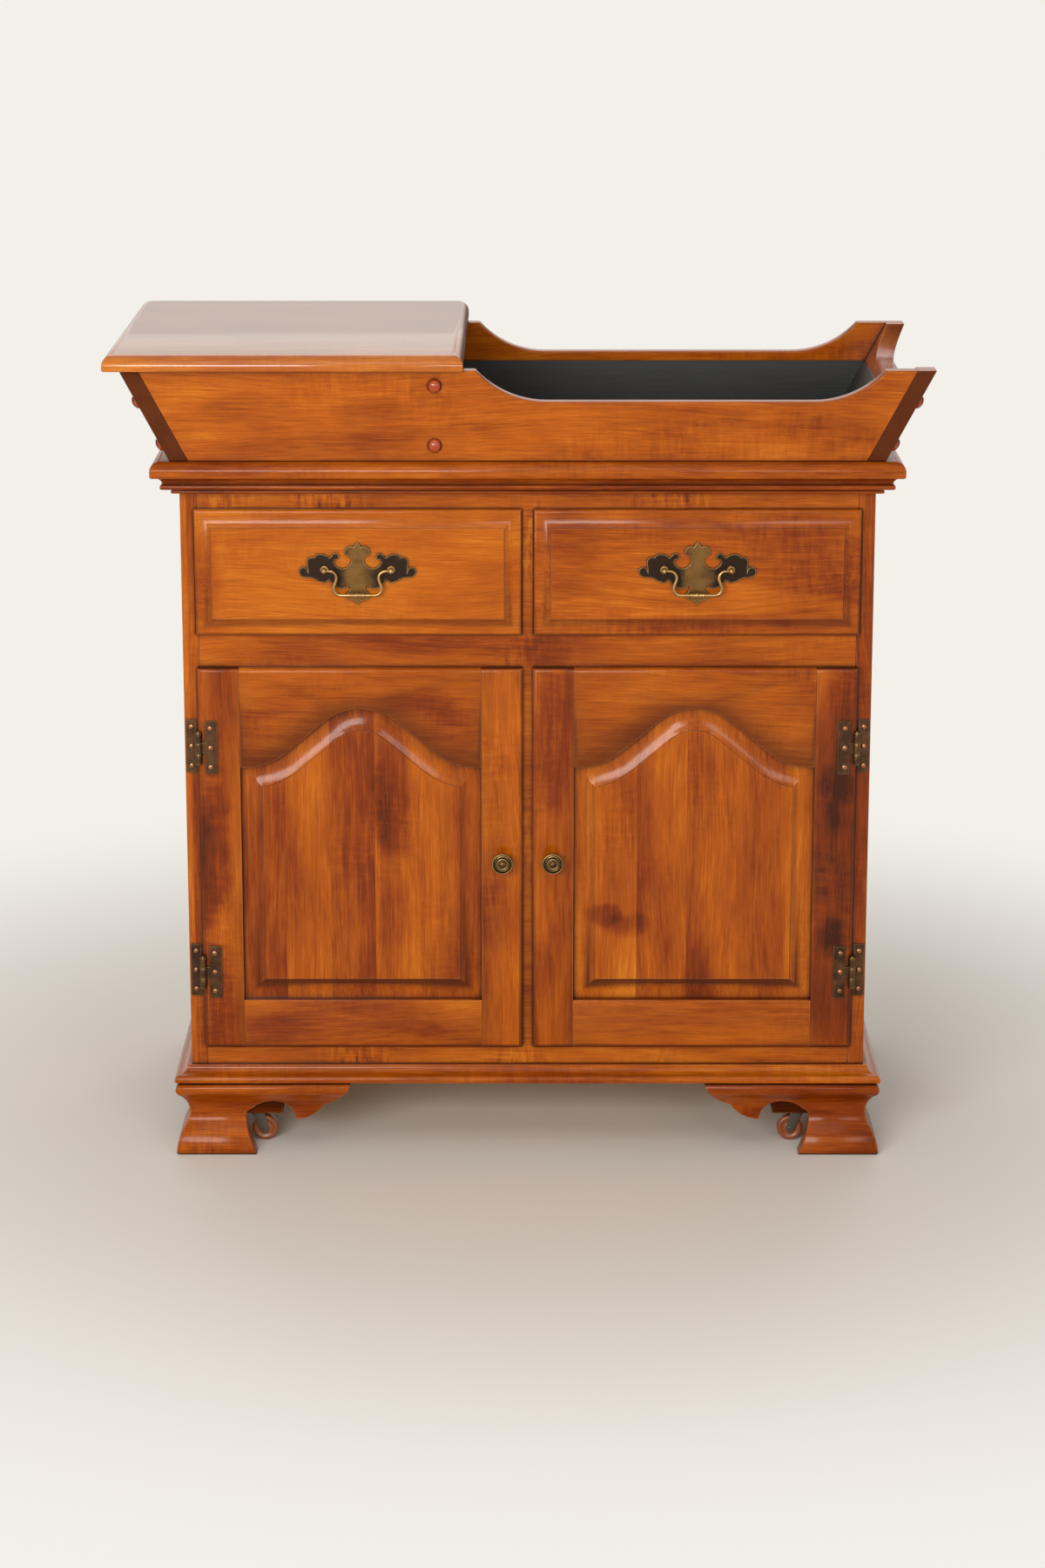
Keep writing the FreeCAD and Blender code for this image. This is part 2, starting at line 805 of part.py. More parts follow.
front_face = bracket("front_face", "front", -half, 1, True)
side_return = bracket("side_return", "left", size(0), 1, True)
rear_side = bracket("rear_side", "left", depth, -1, False)
rear_brace = new_body("rear_brace")
brace_outer = -half + cell("foot_inside")
brace_path = [
    (brace_outer, 0),
    (brace_outer + cell("brace_width"), 0),
    (brace_outer + cell("brace_width") + cell("brace_foot"), foot_top),
    (brace_outer, foot_top),
]
brace_front = depth - cell("rail_thick")
prism(rear_brace, "brace", "XZ", brace_front, depth, brace_path)
finish(group("face_brackets", both_sides([front_face])), "feet_front_faces")
finish(group("return_brackets", both_sides([side_return])), "feet_side_returns")
finish(group("rear_brackets", both_sides([rear_side])), "feet_rear_sides")
finish(group("rear_braces", both_sides([rear_brace])), "feet_rear_braces")


# ---------------------------------------------------------------- corner blocks and casters

caster_x = half - cell("caster_inset")
front_caster_y = cell("foot_inside") + cell("caster_clear")
rear_caster_y = brace_front - cell("caster_clear")
block_inner = brace_outer + cell("block_width")


def corner_block(name, front, rear, stem_y):
    """A glue block behind a foot, bored for the caster's stem."""
    wood = block(name + "_wood", brace_outer, block_inner, front, rear, cell("block_bottom"), foot_top)
    start = cell("block_bottom") - OVERCUT
    depth = cell("stem_length") + cell("bore_clear") + OVERCUT
    return less(name, wood, hole(name + "_bore", cell("stem_radius"), depth, -caster_x, stem_y, start))


front_block_rear = cell("foot_inside") + cell("block_depth")
rear_block_front = brace_front - cell("block_depth")
blocks = [
    corner_block("front_block", cell("foot_inside"), front_block_rear, front_caster_y),
    corner_block("rear_block", rear_block_front, brace_front, rear_caster_y),
]
finish(group("blocks", both_sides(blocks)), "corner_blocks")


def caster_fork(name, stem_x, stem_y, way):
    """A stem on a bent yoke, with the axle riveted through its two cheeks."""
    wheel_x = stem_x + cell("trail") * way
    cheek_in = cell("wheel_width") / 2 + cell("fork_gap")
    cheek_out = cheek_in + cell("fork_thick")
    crown_low = cell("wheel_radius") * 2 + cell("crown_clear")
    crown_high = crown_low + cell("fork_thick")
    eye = cell("axle_radius") + cell("fork_eye")
    yoke = new_body(name + "_yoke")
    eye_flat = eye * tangent(size(22.5))
    cheek = [
        (wheel_x - eye * way, cell("wheel_radius")),
        (wheel_x - eye_flat * way, cell("wheel_radius") - eye),
        (wheel_x + eye_flat * way, cell("wheel_radius") - eye),
        (wheel_x + eye * way, cell("wheel_radius")),
        (stem_x + cell("fork_toe") * way, crown_high),
        (stem_x - cell("fork_heel") * way, crown_high),
    ]
    prism(yoke, "cheeks", "XZ", stem_y + cheek_out, stem_y - cheek_out, cheek)
    slot_half = cell("trail") + cell("fork_toe") + cell("wheel_radius")
    slot = rectangle(wheel_x - slot_half, 0, wheel_x + slot_half, crown_low)
    prism(yoke, "slot", "XZ", stem_y + cheek_in, stem_y - cheek_in, slot, cut=True)
    axle_length = (cheek_out + cell("axle_head")) * 2
    stem_low = crown_high - cell("stem_seat")
    return joined(name, [
        yoke,
        rod(name + "_axle", cell("axle_radius"), axle_length, wheel_x, stem_y - axle_length / 2,
            cell("wheel_radius"), "Y"),
        rod(name + "_stem", cell("stem_radius"), cell("block_bottom") + cell("stem_length") - stem_low,
            stem_x, stem_y, stem_low),
    ])


def caster_wheel(name, wheel_x, stem_y):
    """A solid wheel with chamfered edges, bored for the axle."""
    wide = cell("wheel_width") / 2
    tread = cell("wheel_radius")
    edge = cell("wheel_chamfer")
    steps = [(-wide, tread - edge), (edge - wide, tread), (wide - edge, tread), (wide, tread - edge)]
    disc = lathed(name + "_disc", wheel_x, stem_y, tread, steps, LARGE_COUNT)
    reach = wide + OVERCUT
    bore = hole(name + "_bore", cell("axle_radius"), reach * 2, wheel_x, stem_y - reach, tread, "Y")
    return less(name, disc, bore)


for place_name, place_x, place_y in (
    ("front_left", -caster_x, front_caster_y),
    ("front_right", caster_x, front_caster_y),
    ("rear_left", -caster_x, rear_caster_y),
    ("rear_right", caster_x, rear_caster_y),
):
    inward = 1 if place_x.value < 0 else -1
    fork = caster_fork("fork_" + place_name, place_x, place_y, inward)
    finish(fork, "caster_fork_" + place_name)
    wheel = caster_wheel("wheel_" + place_name, place_x + cell("trail") * inward, place_y)
    finish(wheel, "caster_wheel_" + place_name)


# ---------------------------------------------------------------- waist board and well

waist_left = -(half + cell("waist_side"))
waist_front = -cell("waist_front")


def waist_board():
    """The moulded shelf between case and well: a large round above and a small one below."""
    board = new_body("waist")
    outline = rectangle(waist_left, waist_front, -waist_left, depth)
    prism(board, "slab", "XY", case_top, waist_top, outline)

    def at_level(edge, level):
        middle = edge.CenterOfMass
        return near(middle.z, level) and not near(middle.y, depth)

    eased(board, "top_round", "Fillet", cell("waist_top_round"), lambda edge: at_level(edge, waist_top))
    eased(board, "low_round", "Fillet", cell("waist_bottom_round"), lambda edge: at_level(edge, case_top))
    return board


finish(waist_board(), "waist_board")

end_foot_in = well_foot_x - end_run
end_top_in = well_top_x - end_run
divider_x = -cell("divider_place")
divider_left = divider_x - cell("well_thick") / 2
divider_right = divider_x + cell("well_thick") / 2
front_inner_y = well_front_y + cell("well_thick")
back_inner_y = well_back_y - cell("well_thick")
scoop_floor = well_top - cell("scoop_depth")
# A circle through the ear's corner that meets the scoop's floor smoothly.
ear_chord = cell("scoop_run") * cell("scoop_run") + cell("scoop_depth") * cell("scoop_depth")
scoop_radius = ear_chord / (cell("scoop_depth") * 2)


def scoop(low_end, high_end):
    """The hollow in the top edge of a well board, between two ears."""
    run_in = cell("scoop_run")
    return [
        (low_end, well_top),
        (low_end + run_in, scoop_floor, scoop_radius),
        (high_end - run_in, scoop_floor),
        (high_end, well_top, scoop_radius),
    ]


def long_board(name, front, rear):
    """A well board between the splayed ends, with the scoop right of the lid."""
    board = new_body(name)
    outline = [
        (-end_foot_in, waist_top),
        (end_foot_in, waist_top),
        (end_top_in, well_top),
        (-end_top_in, well_top),
    ]
    prism(board, "board", "XZ", front, rear, outline)
    hollow = scoop(-cell("scoop_left"), end_top_in - cell("scoop_right"))
    prism(board, "scoop", "XZ", front, rear, hollow, cut=True)

    def on_scoop(edge):
        box = edge.BoundBox
        flat = box.YMax - box.YMin < 0.01
        inside = box.ZMax < well_top.value + 0.01 and box.ZMin > scoop_floor.value - 0.01
        return flat and inside and box.ZMin < well_top.value - 1

    eased(board, "eased_scoop", "Chamfer", cell("scoop_ease"), on_scoop)
    return board


def end_board(name, hand):
    """A splayed end, cut level at top and bottom; hand is 1 on the right and -1 on the left."""
    board = new_body(name)
    outline = [
        (well_foot_x * hand, waist_top),
        (well_top_x * hand, well_top),
        (end_top_in * hand, well_top),
        (end_foot_in * hand, waist_top),
    ]
    prism(board, "board", "XZ", well_front_y, well_back_y, outline)
    return board


finish(long_board("well_front", well_front_y, front_inner_y), "well_front_board")
finish(long_board("well_back", back_inner_y, well_back_y), "well_back_board")

right_end = end_board("right_end", 1)
side_hollow = scoop(well_front_y + cell("scoop_ear"), well_back_y - cell("scoop_ear"))
prism(right_end, "scoop", "YZ", end_foot_in, well_top_x, side_hollow, cut=True)
finish(right_end, "well_end_right")
finish(end_board("left_end", -1), "well_end_left")

divider = block("divider", divider_left, divider_right, front_inner_y, back_inner_y, waist_top, well_top)
finish(divider, "well_divider")


def well_liner():
    """Thin black sheets that line the open part of the well: a floor and four walls on it."""
    wall = cell("liner_thick")
    floor_top = waist_top + wall
    sheet_top = waist_top + cell("liner_height")
    left_in = divider_right + wall
    wall_run = wall / cosine(cell("well_splay"))

    def end_face(level):
        return end_foot_in + (level - waist_top) * tangent(cell("well_splay"))

    outlines = {
        "floor": [
            (divider_right, waist_top),
            (end_foot_in, waist_top),
            (end_face(floor_top), floor_top),
            (divider_right, floor_top),
        ],
        "left": rectangle(divider_right, floor_top, left_in, sheet_top),
        "right": [
            (end_face(floor_top) - wall_run, floor_top),
            (end_face(floor_top), floor_top),
            (end_face(sheet_top), sheet_top),
            (end_face(sheet_top) - wall_run, sheet_top),
        ],
        "long": [
            (left_in, floor_top),
            (end_face(floor_top) - wall_run, floor_top),
            (end_face(sheet_top) - wall_run, sheet_top),
            (left_in, sheet_top),
        ],
    }
    sheets = [
        ("floor", "floor", front_inner_y, back_inner_y),
        ("left", "left", front_inner_y, back_inner_y),
        ("right", "right", front_inner_y, back_inner_y),
        ("front", "long", front_inner_y, front_inner_y + wall),
        ("back", "long", back_inner_y - wall, back_inner_y),
    ]
    pieces = []
    for name, outline, start, end in sheets:
        piece = new_body("liner_" + name)
        prism(piece, "liner_%s_sheet" % name, "XZ", start, end, outlines[outline])
        pieces.append(piece)
    return group("liner", pieces)


finish(well_liner(), "well_liner")

# ---------------------------------------------------------------- lid and its hinges

lid_front = well_front_y - cell("lid_front")
lid_right = divider_right + cell("lid_reach")


def lid_board():
    """The lid, with a thumb moulding on the front and both ends."""
    board = new_body("lid")
    prism(board, "slab", "XY", well_top, lid_top, rectangle(lid_left, lid_front, lid_right, depth))

    def at_level(edge, level):
        middle = edge.CenterOfMass
        return near(middle.z, level) and not near(middle.y, depth)

    eased(board, "thumb_mould", "Fillet", cell("lid_round"), lambda edge: at_level(edge, lid_top))
    eased(board, "lower_ease", "Chamfer", cell("lid_ease"), lambda edge: at_level(edge, well_top))
    return board


finish(lid_board(), "lid")

lid_pin_y = well_back_y + cell("lid_knuckle_radius")
lid_pin_z = well_top - cell("lid_knuckle_radius")
lid_hinge_left = -(end_top_in - cell("lid_hinge_outer"))
lid_hinge_right = divider_left - cell("lid_hinge_inner")
hinge_half = cell("lid_hinge_length") / 2
knuckle_part = cell("lid_hinge_length") / 3
lid_curl_length = knuckle_part - cell("knuckle_gap")
# Where each plate stops, clear of the other leaf's knuckle.
plate_clear = cell("lid_knuckle_radius") + cell("lid_leaf_gap")


def lid_knuckle(name, start):
    """One curl of a leaf round the pin."""
    return rod(name, cell("lid_knuckle_radius"), lid_curl_length, start, lid_pin_y, lid_pin_z, "X")


def lid_bore(name, middle):
    """The hole for the pin, through the knuckle of the lid's leaf."""
    reach = hinge_half + OVERCUT
    return hole(name, cell("lid_pin_radius"), reach * 2, middle - reach, lid_pin_y, lid_pin_z, "X")


def back_leaf(name, middle):
    """The fixed leaf, upright on the back board, with the two outer knuckles and the pin."""
    low = lid_pin_z - cell("lid_leaf_width")
    plate_back = well_back_y + cell("lid_leaf_thick")
    start = middle - hinge_half
    pieces = [block(name + "_plate", start, middle + hinge_half, well_back_y, plate_back, low,
                    lid_pin_z - plate_clear)]
    for end, at in (("first", start), ("last", start + knuckle_part * 2)):
        pieces.append(lid_knuckle("%s_%s" % (name, end), at))
        pieces.append(block("%s_%s_web" % (name, end), at, at + lid_curl_length, well_back_y, plate_back,
                            low, lid_pin_z))
    pieces.append(rod(name + "_pin", cell("lid_pin_radius"), cell("lid_hinge_length"), start,
                      lid_pin_y, lid_pin_z, "X"))
    return joined(name, pieces)


def lid_leaf(name, middle):
    """The moving leaf under the lid's overhang, with the middle knuckle."""
    low = well_top - cell("lid_leaf_thick")
    far = lid_pin_y + cell("lid_leaf_width")
    start = middle - hinge_half
    second = start + knuckle_part
    plate = block(name + "_plate", start, middle + hinge_half, lid_pin_y + plate_clear, far, low, well_top)
    web = block(name + "_web", second, second + lid_curl_length, lid_pin_y, far, low, well_top)
    whole = joined(name + "_whole", [plate, web, lid_knuckle(name + "_second", second)])
    return less(name, whole, lid_bore(name + "_bore", middle))


lid_places = (("near", lid_hinge_left), ("far", lid_hinge_right))
finish(group("back_leaves", [back_leaf("back_leaf_" + n, x) for n, x in lid_places]), "lid_hinge_back_leaves")
finish(group("lid_leaves", [lid_leaf("lid_leaf_" + n, x) for n, x in lid_places]), "lid_hinge_leaves")

# ---------------------------------------------------------------- doors

door_outer = -(inner + cell("door_side_lip"))
door_inner = -cell("door_gap") / 2
frame_left = door_outer + cell("stile_width")
frame_right = door_inner - cell("stile_width")
door_middle = (door_outer + door_inner) / 2
rail_top = door_bottom + cell("door_rail_width")
arch_top = door_top - cell("head_width")
slope = cell("arch_slope")
arch_turns = cell("arch_crown") + cell("arch_shoulder")
drawn_straight = (cell("arch_rise") - arch_turns * (1 - cosine(slope))) / sine(slope)
drawn_reach = arch_turns * sine(slope) + drawn_straight * cosine(slope)
arch_share = ((frame_right - frame_left) / 2 - cell("arch_level")) / drawn_reach
spring = arch_top - cell("arch_rise") * arch_share

door_face = -cell("lip_thick")
door_back = cell("inset_thick")
inset_left = -(inner - cell("fit_gap"))
inset_right = -(mullion_half + cell("fit_gap"))
inset_low = floor_level + cell("fit_gap")
inset_high = door_head - cell("fit_gap")
groove_front = door_face + cell("groove_set")
groove_back = groove_front + cell("groove_width")


def arch(spread, left_to_right=True):
    """The arched line of the door's head, moved outward by spread, as steps from one side.

    Each half runs level from the stile, up a hollow shoulder, along a straight slope and over the
    round crown. The drawn arch is scaled to span the stiles, less the level run beside each. Moving it
    outward makes the crown larger and the shoulders smaller.
    """
    crown = cell("arch_crown") * arch_share + spread
    shoulder = cell("arch_shoulder") * arch_share - spread
    straight = drawn_straight * arch_share
    crown_x = crown * sine(slope)
    crown_z = arch_top + spread - crown * (1 - cosine(slope))
    foot_x = crown_x + straight * cosine(slope)
    foot_z = crown_z - straight * sine(slope)
    level_x = foot_x + shoulder * sine(slope)
    level_z = foot_z - shoulder * (1 - cosine(slope))
    way = 1 if left_to_right else -1
    return [
        (door_middle - level_x * way, level_z),
        (door_middle - foot_x * way, foot_z, shoulder * way),
        (door_middle - crown_x * way, crown_z),
        (door_middle, arch_top + spread, -crown * way),
        (door_middle + crown_x * way, crown_z, -crown * way),
        (door_middle + foot_x * way, foot_z),
        (door_middle + level_x * way, level_z, shoulder * way),
    ]


def edge_cut(body, outline, low, middle_x):
    """Round the front edge of a door or drawer, with mitred corners, by one sweep round it."""
    spine = draw(new_sketch(body, "edge_path", "XZ", door_face), outline)
    profile = new_sketch(body, "edge_profile", "YZ", middle_x)
    turn = cell("edge_round")
    draw(profile, [
        (door_face - OVERCUT, low - OVERCUT),
        (door_face + turn, low - OVERCUT),
        (door_face + turn, low),
        (door_face, low + turn, -turn),
        (door_face - OVERCUT, low + turn),
    ])
    return swept(body, "rounded_edge", "SubtractivePipe", spine, profile)


door_outline = rectangle(door_outer, door_bottom, door_inner, door_top)


def stile(name, left, right, body_left, body_right, groove_x, groove_end):
    """An upright of the door: lipped front, inset back and a groove for panel and rails."""
    piece = new_body(name)
    prism(piece, "front", "XZ", 0, door_face, rectangle(left, door_bottom, right, door_top))
    prism(piece, "inset", "XZ", 0, door_back, rectangle(body_left, inset_low, body_right, inset_high))
    groove = rectangle(groove_x, door_bottom, groove_end, door_top)
    prism(piece, "groove", "XZ", groove_front, groove_back, groove, cut=True)
    edge_cut(piece, door_outline, door_bottom, door_middle)
    return piece


groove_left = frame_left - cell("groove_depth")
groove_right = frame_right + cell("groove_depth")
outer_stile = stile("outer_stile", door_outer, frame_left, inset_left, frame_left, groove_left,
                    frame_left)
inner_stile = stile("inner_stile", frame_right, door_inner, frame_right, inset_right, frame_right,
                    groove_right)


def foot_rail():
    """The bottom rail, with stub tenons and the panel groove in its top edge."""
    piece = new_body("foot_rail")
    front = rectangle(frame_left, door_bottom, frame_right, rail_top)
    prism(piece, "front", "XZ", 0, door_face, front)
    prism(piece, "inset", "XZ", 0, door_back, rectangle(frame_left, inset_low, frame_right, rail_top))
    tenon = rectangle(groove_left, inset_low, groove_right, rail_top - cell("groove_depth"))
    prism(piece, "tenons", "XZ", groove_front, groove_back, tenon)
    groove = rectangle(frame_left, rail_top - cell("groove_depth"), frame_right, rail_top)
    prism(piece, "groove", "XZ", groove_front, groove_back, groove, cut=True)
    edge_cut(piece, door_outline, door_bottom, door_middle)
    return piece


def head_rail():
    """The top rail, sawn to the arch below, with stub tenons and an arched groove."""
    piece = new_body("head_rail")
    over = arch(0.0)

    def above(high):
        sides = [(frame_right, spring), (frame_right, high), (frame_left, high)]
        return [(frame_left, spring)] + over + sides

    prism(piece, "front", "XZ", 0, door_face, above(door_top))
    prism(piece, "inset", "XZ", 0, door_back, above(inset_high))
    tenon_low = spring + cell("groove_depth")
    tenon_left = rectangle(groove_left, tenon_low, frame_left, inset_high)
    tenon_right = rectangle(frame_right, tenon_low, groove_right, inset_high)
    prism(piece, "left_tenon", "XZ", groove_front, groove_back, tenon_left)
    prism(piece, "right_tenon", "XZ", groove_front, groove_back, tenon_right)
    below = spring - OVERCUT
    hollow = [(frame_left, below), (frame_right, below), (frame_right, tenon_low)]
    hollow += arch(cell("groove_depth"), False) + [(frame_left, tenon_low)]
    prism(piece, "groove", "XZ", groove_front, groove_back, hollow, cut=True)
    edge_cut(piece, door_outline, door_bottom, door_middle)
    return piece


door_rails = [foot_rail(), head_rail()]


COVE_COUNT = 4


def cove_flats(start, end, depth):
    """The corners of a shallow cove between two points, worked as a row of flats."""
    corners = []
    for i in range(1, COVE_COUNT):
        share = i / COVE_COUNT
        level = start[0] + (end[0] - start[0]) * share
        hollow = depth * (4 * share * (1 - share))
        corners.append((level + hollow, start[1] + (end[1] - start[1]) * share))
    return corners


def door_panel():
    """A fielded panel: an arched board with a coved border all round, its edge in the grooves."""
    board = new_body("panel")
    reach = cell("groove_depth") - cell("panel_play")
    field_face = door_face + cell("panel_field")
    left, right = frame_left - reach, frame_right + reach
    low, high = rail_top - reach, spring + reach
    outline = [(left, low), (right, low), (right, high)] + arch(reach, False) + [(left, high)]
    prism(board, "board", "XZ", groove_back, field_face, outline)
    spine_path = [(frame_left, rail_top), (frame_right, rail_top), (frame_right, spring)]
    spine_path += arch(0.0, False) + [(frame_left, spring)]
    spine = draw(new_sketch(board, "border_path", "XZ", field_face), spine_path)
    border_top = rail_top + cell("panel_border")
    flat_end = (groove_front, rail_top + cell("panel_flat"))
    step_foot = (field_face + cell("field_step"), border_top)
    cove_width = step_foot[1] - flat_end[1]
    cove_depth = cove_width * cove_width / (8 * cell("cove_radius"))
    profile = new_sketch(board, "border_profile", "YZ", door_middle)
    draw(profile, [
        (field_face - OVERCUT, low - OVERCUT),
        (groove_front, low - OVERCUT),
        flat_end,
        *cove_flats(flat_end, step_foot, cove_depth),
        step_foot,
        (field_face, border_top),
        (field_face - OVERCUT, border_top),
    ])
    swept(board, "coved_border", "SubtractivePipe", spine, profile)
    return board


panel = door_panel()

hinge_x = door_outer
hinge_y = door_face - cell("pin_stand_off")
hinge_levels = {"low": door_bottom + cell("hinge_inset"), "high": door_top - cell("hinge_inset")}


def knuckle(name, low, length):
    """One curl of a leaf round the pin of the lower left hinge."""
    return rod(name, cell("knuckle_radius"), length, hinge_x, hinge_y, low)


def hinge_bore(name, level):
    """The hole for the pin, through the knuckle of the door's leaf."""
    reach = cell("knuckle_length") / 2 + OVERCUT
    return hole(name, cell("pin_radius"), reach * 2, hinge_x, hinge_y, level - reach)


curl = cell("knuckle_length") / 3
curl_length = curl - cell("knuckle_gap")
case_leaf_in = hinge_x - cell("leaf_start")
case_leaf_out = case_leaf_in - cell("case_leaf_width")
door_leaf_in = hinge_x + cell("door_leaf_start")
door_leaf_out = door_leaf_in + cell("door_leaf_width")
leaf_face = door_face - cell("leaf_thick")
leaf_half = cell("hinge_length") / 2


def case_leaf(name, level):
    """The leaf on the case: an upright bar, offset forward to two knuckles, with the pin set in them."""
    bar = block(name + "_bar", case_leaf_out, case_leaf_in, -cell("leaf_thick"), 0, level - leaf_half,
                level + leaf_half)
    pieces = [bar]
    offset_out = hinge_x - cell("knuckle_radius")
    for i, low in enumerate((level - curl * 1.5, level + curl * 0.5)):
        pieces.append(block("%s_offset_%d" % (name, i), offset_out, offset_out + cell("leaf_thick"),
                            hinge_y, 0, low, low + curl_length))
        pieces.append(knuckle("%s_curl_%d" % (name, i), low, curl_length))
    reach = cell("knuckle_length") / 2 + cell("pin_end")
    pieces.append(rod(name + "_pin", cell("pin_radius"), reach * 2, hinge_x, hinge_y, level - reach))
    return joined(name, pieces)


def door_leaf(name, level):
    """The leaf on the door: an upright bar with one arm to the middle knuckle."""
    bar = block(name + "_bar", door_leaf_in, door_leaf_out, leaf_face, door_face, level - leaf_half,
                level + leaf_half)
    low = level - curl * 0.5
    arm = block(name + "_arm", hinge_x, door_leaf_in, leaf_face, door_face, low, low + curl_length)
    whole = joined(name + "_whole", [bar, arm, knuckle(name + "_curl", low, curl_length)])
    return less(name, whole, hinge_bore(name + "_bore", level))


case_leaves = [case_leaf("case_leaf_" + end, level) for end, level in hinge_levels.items()]
finish(group("case_leaves", both_sides(case_leaves)), "case_hinge_leaves")

# Magnetic catches under the middle rail, just behind the free edge of each door.
catch_right = -(mullion_half + cell("catch_inset"))
catch_front = door_back + cell("run_gap")
catch = block("catch", catch_right - cell("catch_width"), catch_right, catch_front,
              catch_front + cell("catch_depth"), door_head - cell("catch_height"), door_head)
finish(group("catches", both_sides([catch])), "door_catches")


def door_knob():
    """A turned knob: waisted neck, rounded rim, sunk ring and a domed middle."""
    rim = cell("knob_radius")
    reach = cell("knob_reach")
    shares = [
        (0.0, 0.52),
        (0.1, 0.5),
        (0.24, 0.38),
        (0.42, 0.38),
        (0.54, 0.62),
        (0.64, 0.92),
        (0.74, 1.0),
        (0.84, 0.95),
        (0.87, 0.84),
        (0.82, 0.72),
        (0.9, 0.52),
        (1.0, 0.12),
    ]
    steps = [(reach * along, rim * across) for along, across in shares]
    x = door_inner - cell("knob_inset")
    return lathed("knob", x, door_face, door_bottom + cell("knob_level"), steps, LARGE_COUNT)


door_leaves = [door_leaf("door_leaf_" + end, level) for end, level in hinge_levels.items()]
left_door = {
    "stiles": group("stiles", [outer_stile, inner_stile]),
    "rails": group("door_rails", door_rails),
    "panel": panel,
    "knob": door_knob(),
    "hinge_leaves": group("door_leaves", door_leaves),
}
for name, piece in left_door.items():
    finish(piece, "door_left_" + name)
    finish(mirror(piece, "right_" + name), "door_right_" + name)


# ---------------------------------------------------------------- drawers

drawer_outer = -(inner + cell("drawer_side_lip"))
drawer_inner = -cell("drawer_gap") / 2
drawer_middle = (drawer_outer + drawer_inner) / 2
box_left = -(inner - cell("fit_gap"))
box_right = -(divider_half + cell("fit_gap"))
box_low = deck_level + cell("run_gap")
box_high = drawer_head - cell("fit_gap")
bottom_low = box_low + cell("drawer_bottom_rise")
bottom_high = bottom_low + cell("drawer_bottom_thick")
side_in = box_left + cell("drawer_side_thick")
side_far = box_right - cell("drawer_side_thick")
bottom_left = side_in - cell("drawer_groove")
bottom_right = side_far + cell("drawer_groove")
box_front = cell("inset_thick")
box_rear = back_front - cell("drawer_rear_gap")


def drawer_front():
    """A lipped front: rounded edge, coved border with mitred corners and a raised field."""
    front = new_body("drawer_front")
    outline = rectangle(drawer_outer, drawer_bottom, drawer_inner, drawer_top)
    prism(front, "front", "XZ", 0, plate_face, outline)
    body_low = deck_level + cell("fit_gap")
    prism(front, "inset", "XZ", 0, box_front, rectangle(box_left, body_low, box_right, box_high))
    groove = rectangle(bottom_left, bottom_low, bottom_right, bottom_high)
    prism(front, "groove", "XZ", box_front, box_front - cell("drawer_groove"), groove, cut=True)
    spine = draw(new_sketch(front, "border_path", "XZ", plate_face), outline)
    profile = new_sketch(front, "border_profile", "YZ", drawer_middle)
    edge = cell("drawer_edge")
    turn = cell("drawer_round")
    border = cell("drawer_border")
    draw(profile, [
        (plate_face - OVERCUT, drawer_bottom - OVERCUT),
        (turn - edge, drawer_bottom - OVERCUT),
        (turn - edge, drawer_bottom),
        (-edge, drawer_bottom + turn, -turn),
        (plate_face + cell("field_step"), drawer_bottom + border, cell("drawer_cove_radius")),
        (plate_face, drawer_bottom + border),
        (plate_face - OVERCUT, drawer_bottom + border),
    ])
    swept(front, "coved_border", "SubtractivePipe", spine, profile)
    return front


def drawer_side(name, outside, inside, groove_end):
    """A drawer side, grooved for the bottom."""
    side = new_body(name)
    prism(side, "side", "YZ", outside, inside, rectangle(box_front, box_low, box_rear, box_high))
    groove = rectangle(box_front, bottom_low, box_rear, bottom_high)
    prism(side, "groove", "YZ", inside, groove_end, groove, cut=True)
    return side


back_board = block("drawer_back", side_in, side_far, box_rear - cell("drawer_side_thick"), box_rear,
                   bottom_high, box_high)
box_boards = [
    drawer_side("outer_side", box_left, side_in, bottom_left),
    drawer_side("inner_side", box_right, side_far, bottom_right),
    back_board,
]
bottom_board = block("drawer_bottom", bottom_left, bottom_right, box_front - cell("drawer_groove"), box_rear,
                     bottom_low, bottom_high)

# The pull is drawn about the middle of its two posts, for a boring of three inches.
pull_x = drawer_middle
pull_z = (drawer_bottom + drawer_top) / 2 + cell("pull_rise")
post_x = cell("pull_boring") / 2
PLATE_HALF = [
    # The crest and the curl under it.
    (0.0, 31.5),
    (4.0, 26.0, -7.5),
    (14.4, 21.0, -6.5),
    (10.5, 16.0, -3.6),
    (7.2, 12.5, 6.0),
    # The deep bay over the bail and the horn beside it.
    (17.3, 1.2, 10.4),
    (27.2, 9.0, 10.4),
    (26.0, 11.6),
    (20.9, 15.2, -3.9),
    (25.2, 19.0, -4.3),
    (29.6, 16.4, -4.6),
    # The shoulder round the post and the pointed wing.
    (32.2, 13.8, 5.0),
    (48.0, 16.6, -13.0),
    (48.9, 14.2),
    (57.8, 9.4, -6.4),
    (57.0, -0.6),
    (60.4, 2.6, -3.6),
    (66.8, -1.8, -4.6),
    (62.0, -8.6, -6.5),
    (56.0, -9.3),
    # The lower edge, back to the skirt.
    (47.8, -11.4, 12.0),
    (40.4, -14.6, -10.0),
    (37.2, -16.0),
    (32.4, -11.8, 8.0),
    (25.8, -18.6, -14.0),
    (16.5, -21.8, -12.0),
    (9.2, -18.2, -12.0),
    # The drop at the foot.
    (8.4, -22.4),
    (15.0, -29.4, 16.0),
    (10.8, -33.4, -6.0),
    (5.2, -36.0, -6.0),
    (0.0, -41.5, 9.0),
]
DRAWN_BORING = 76.2


FLAT_TURN = 24.0


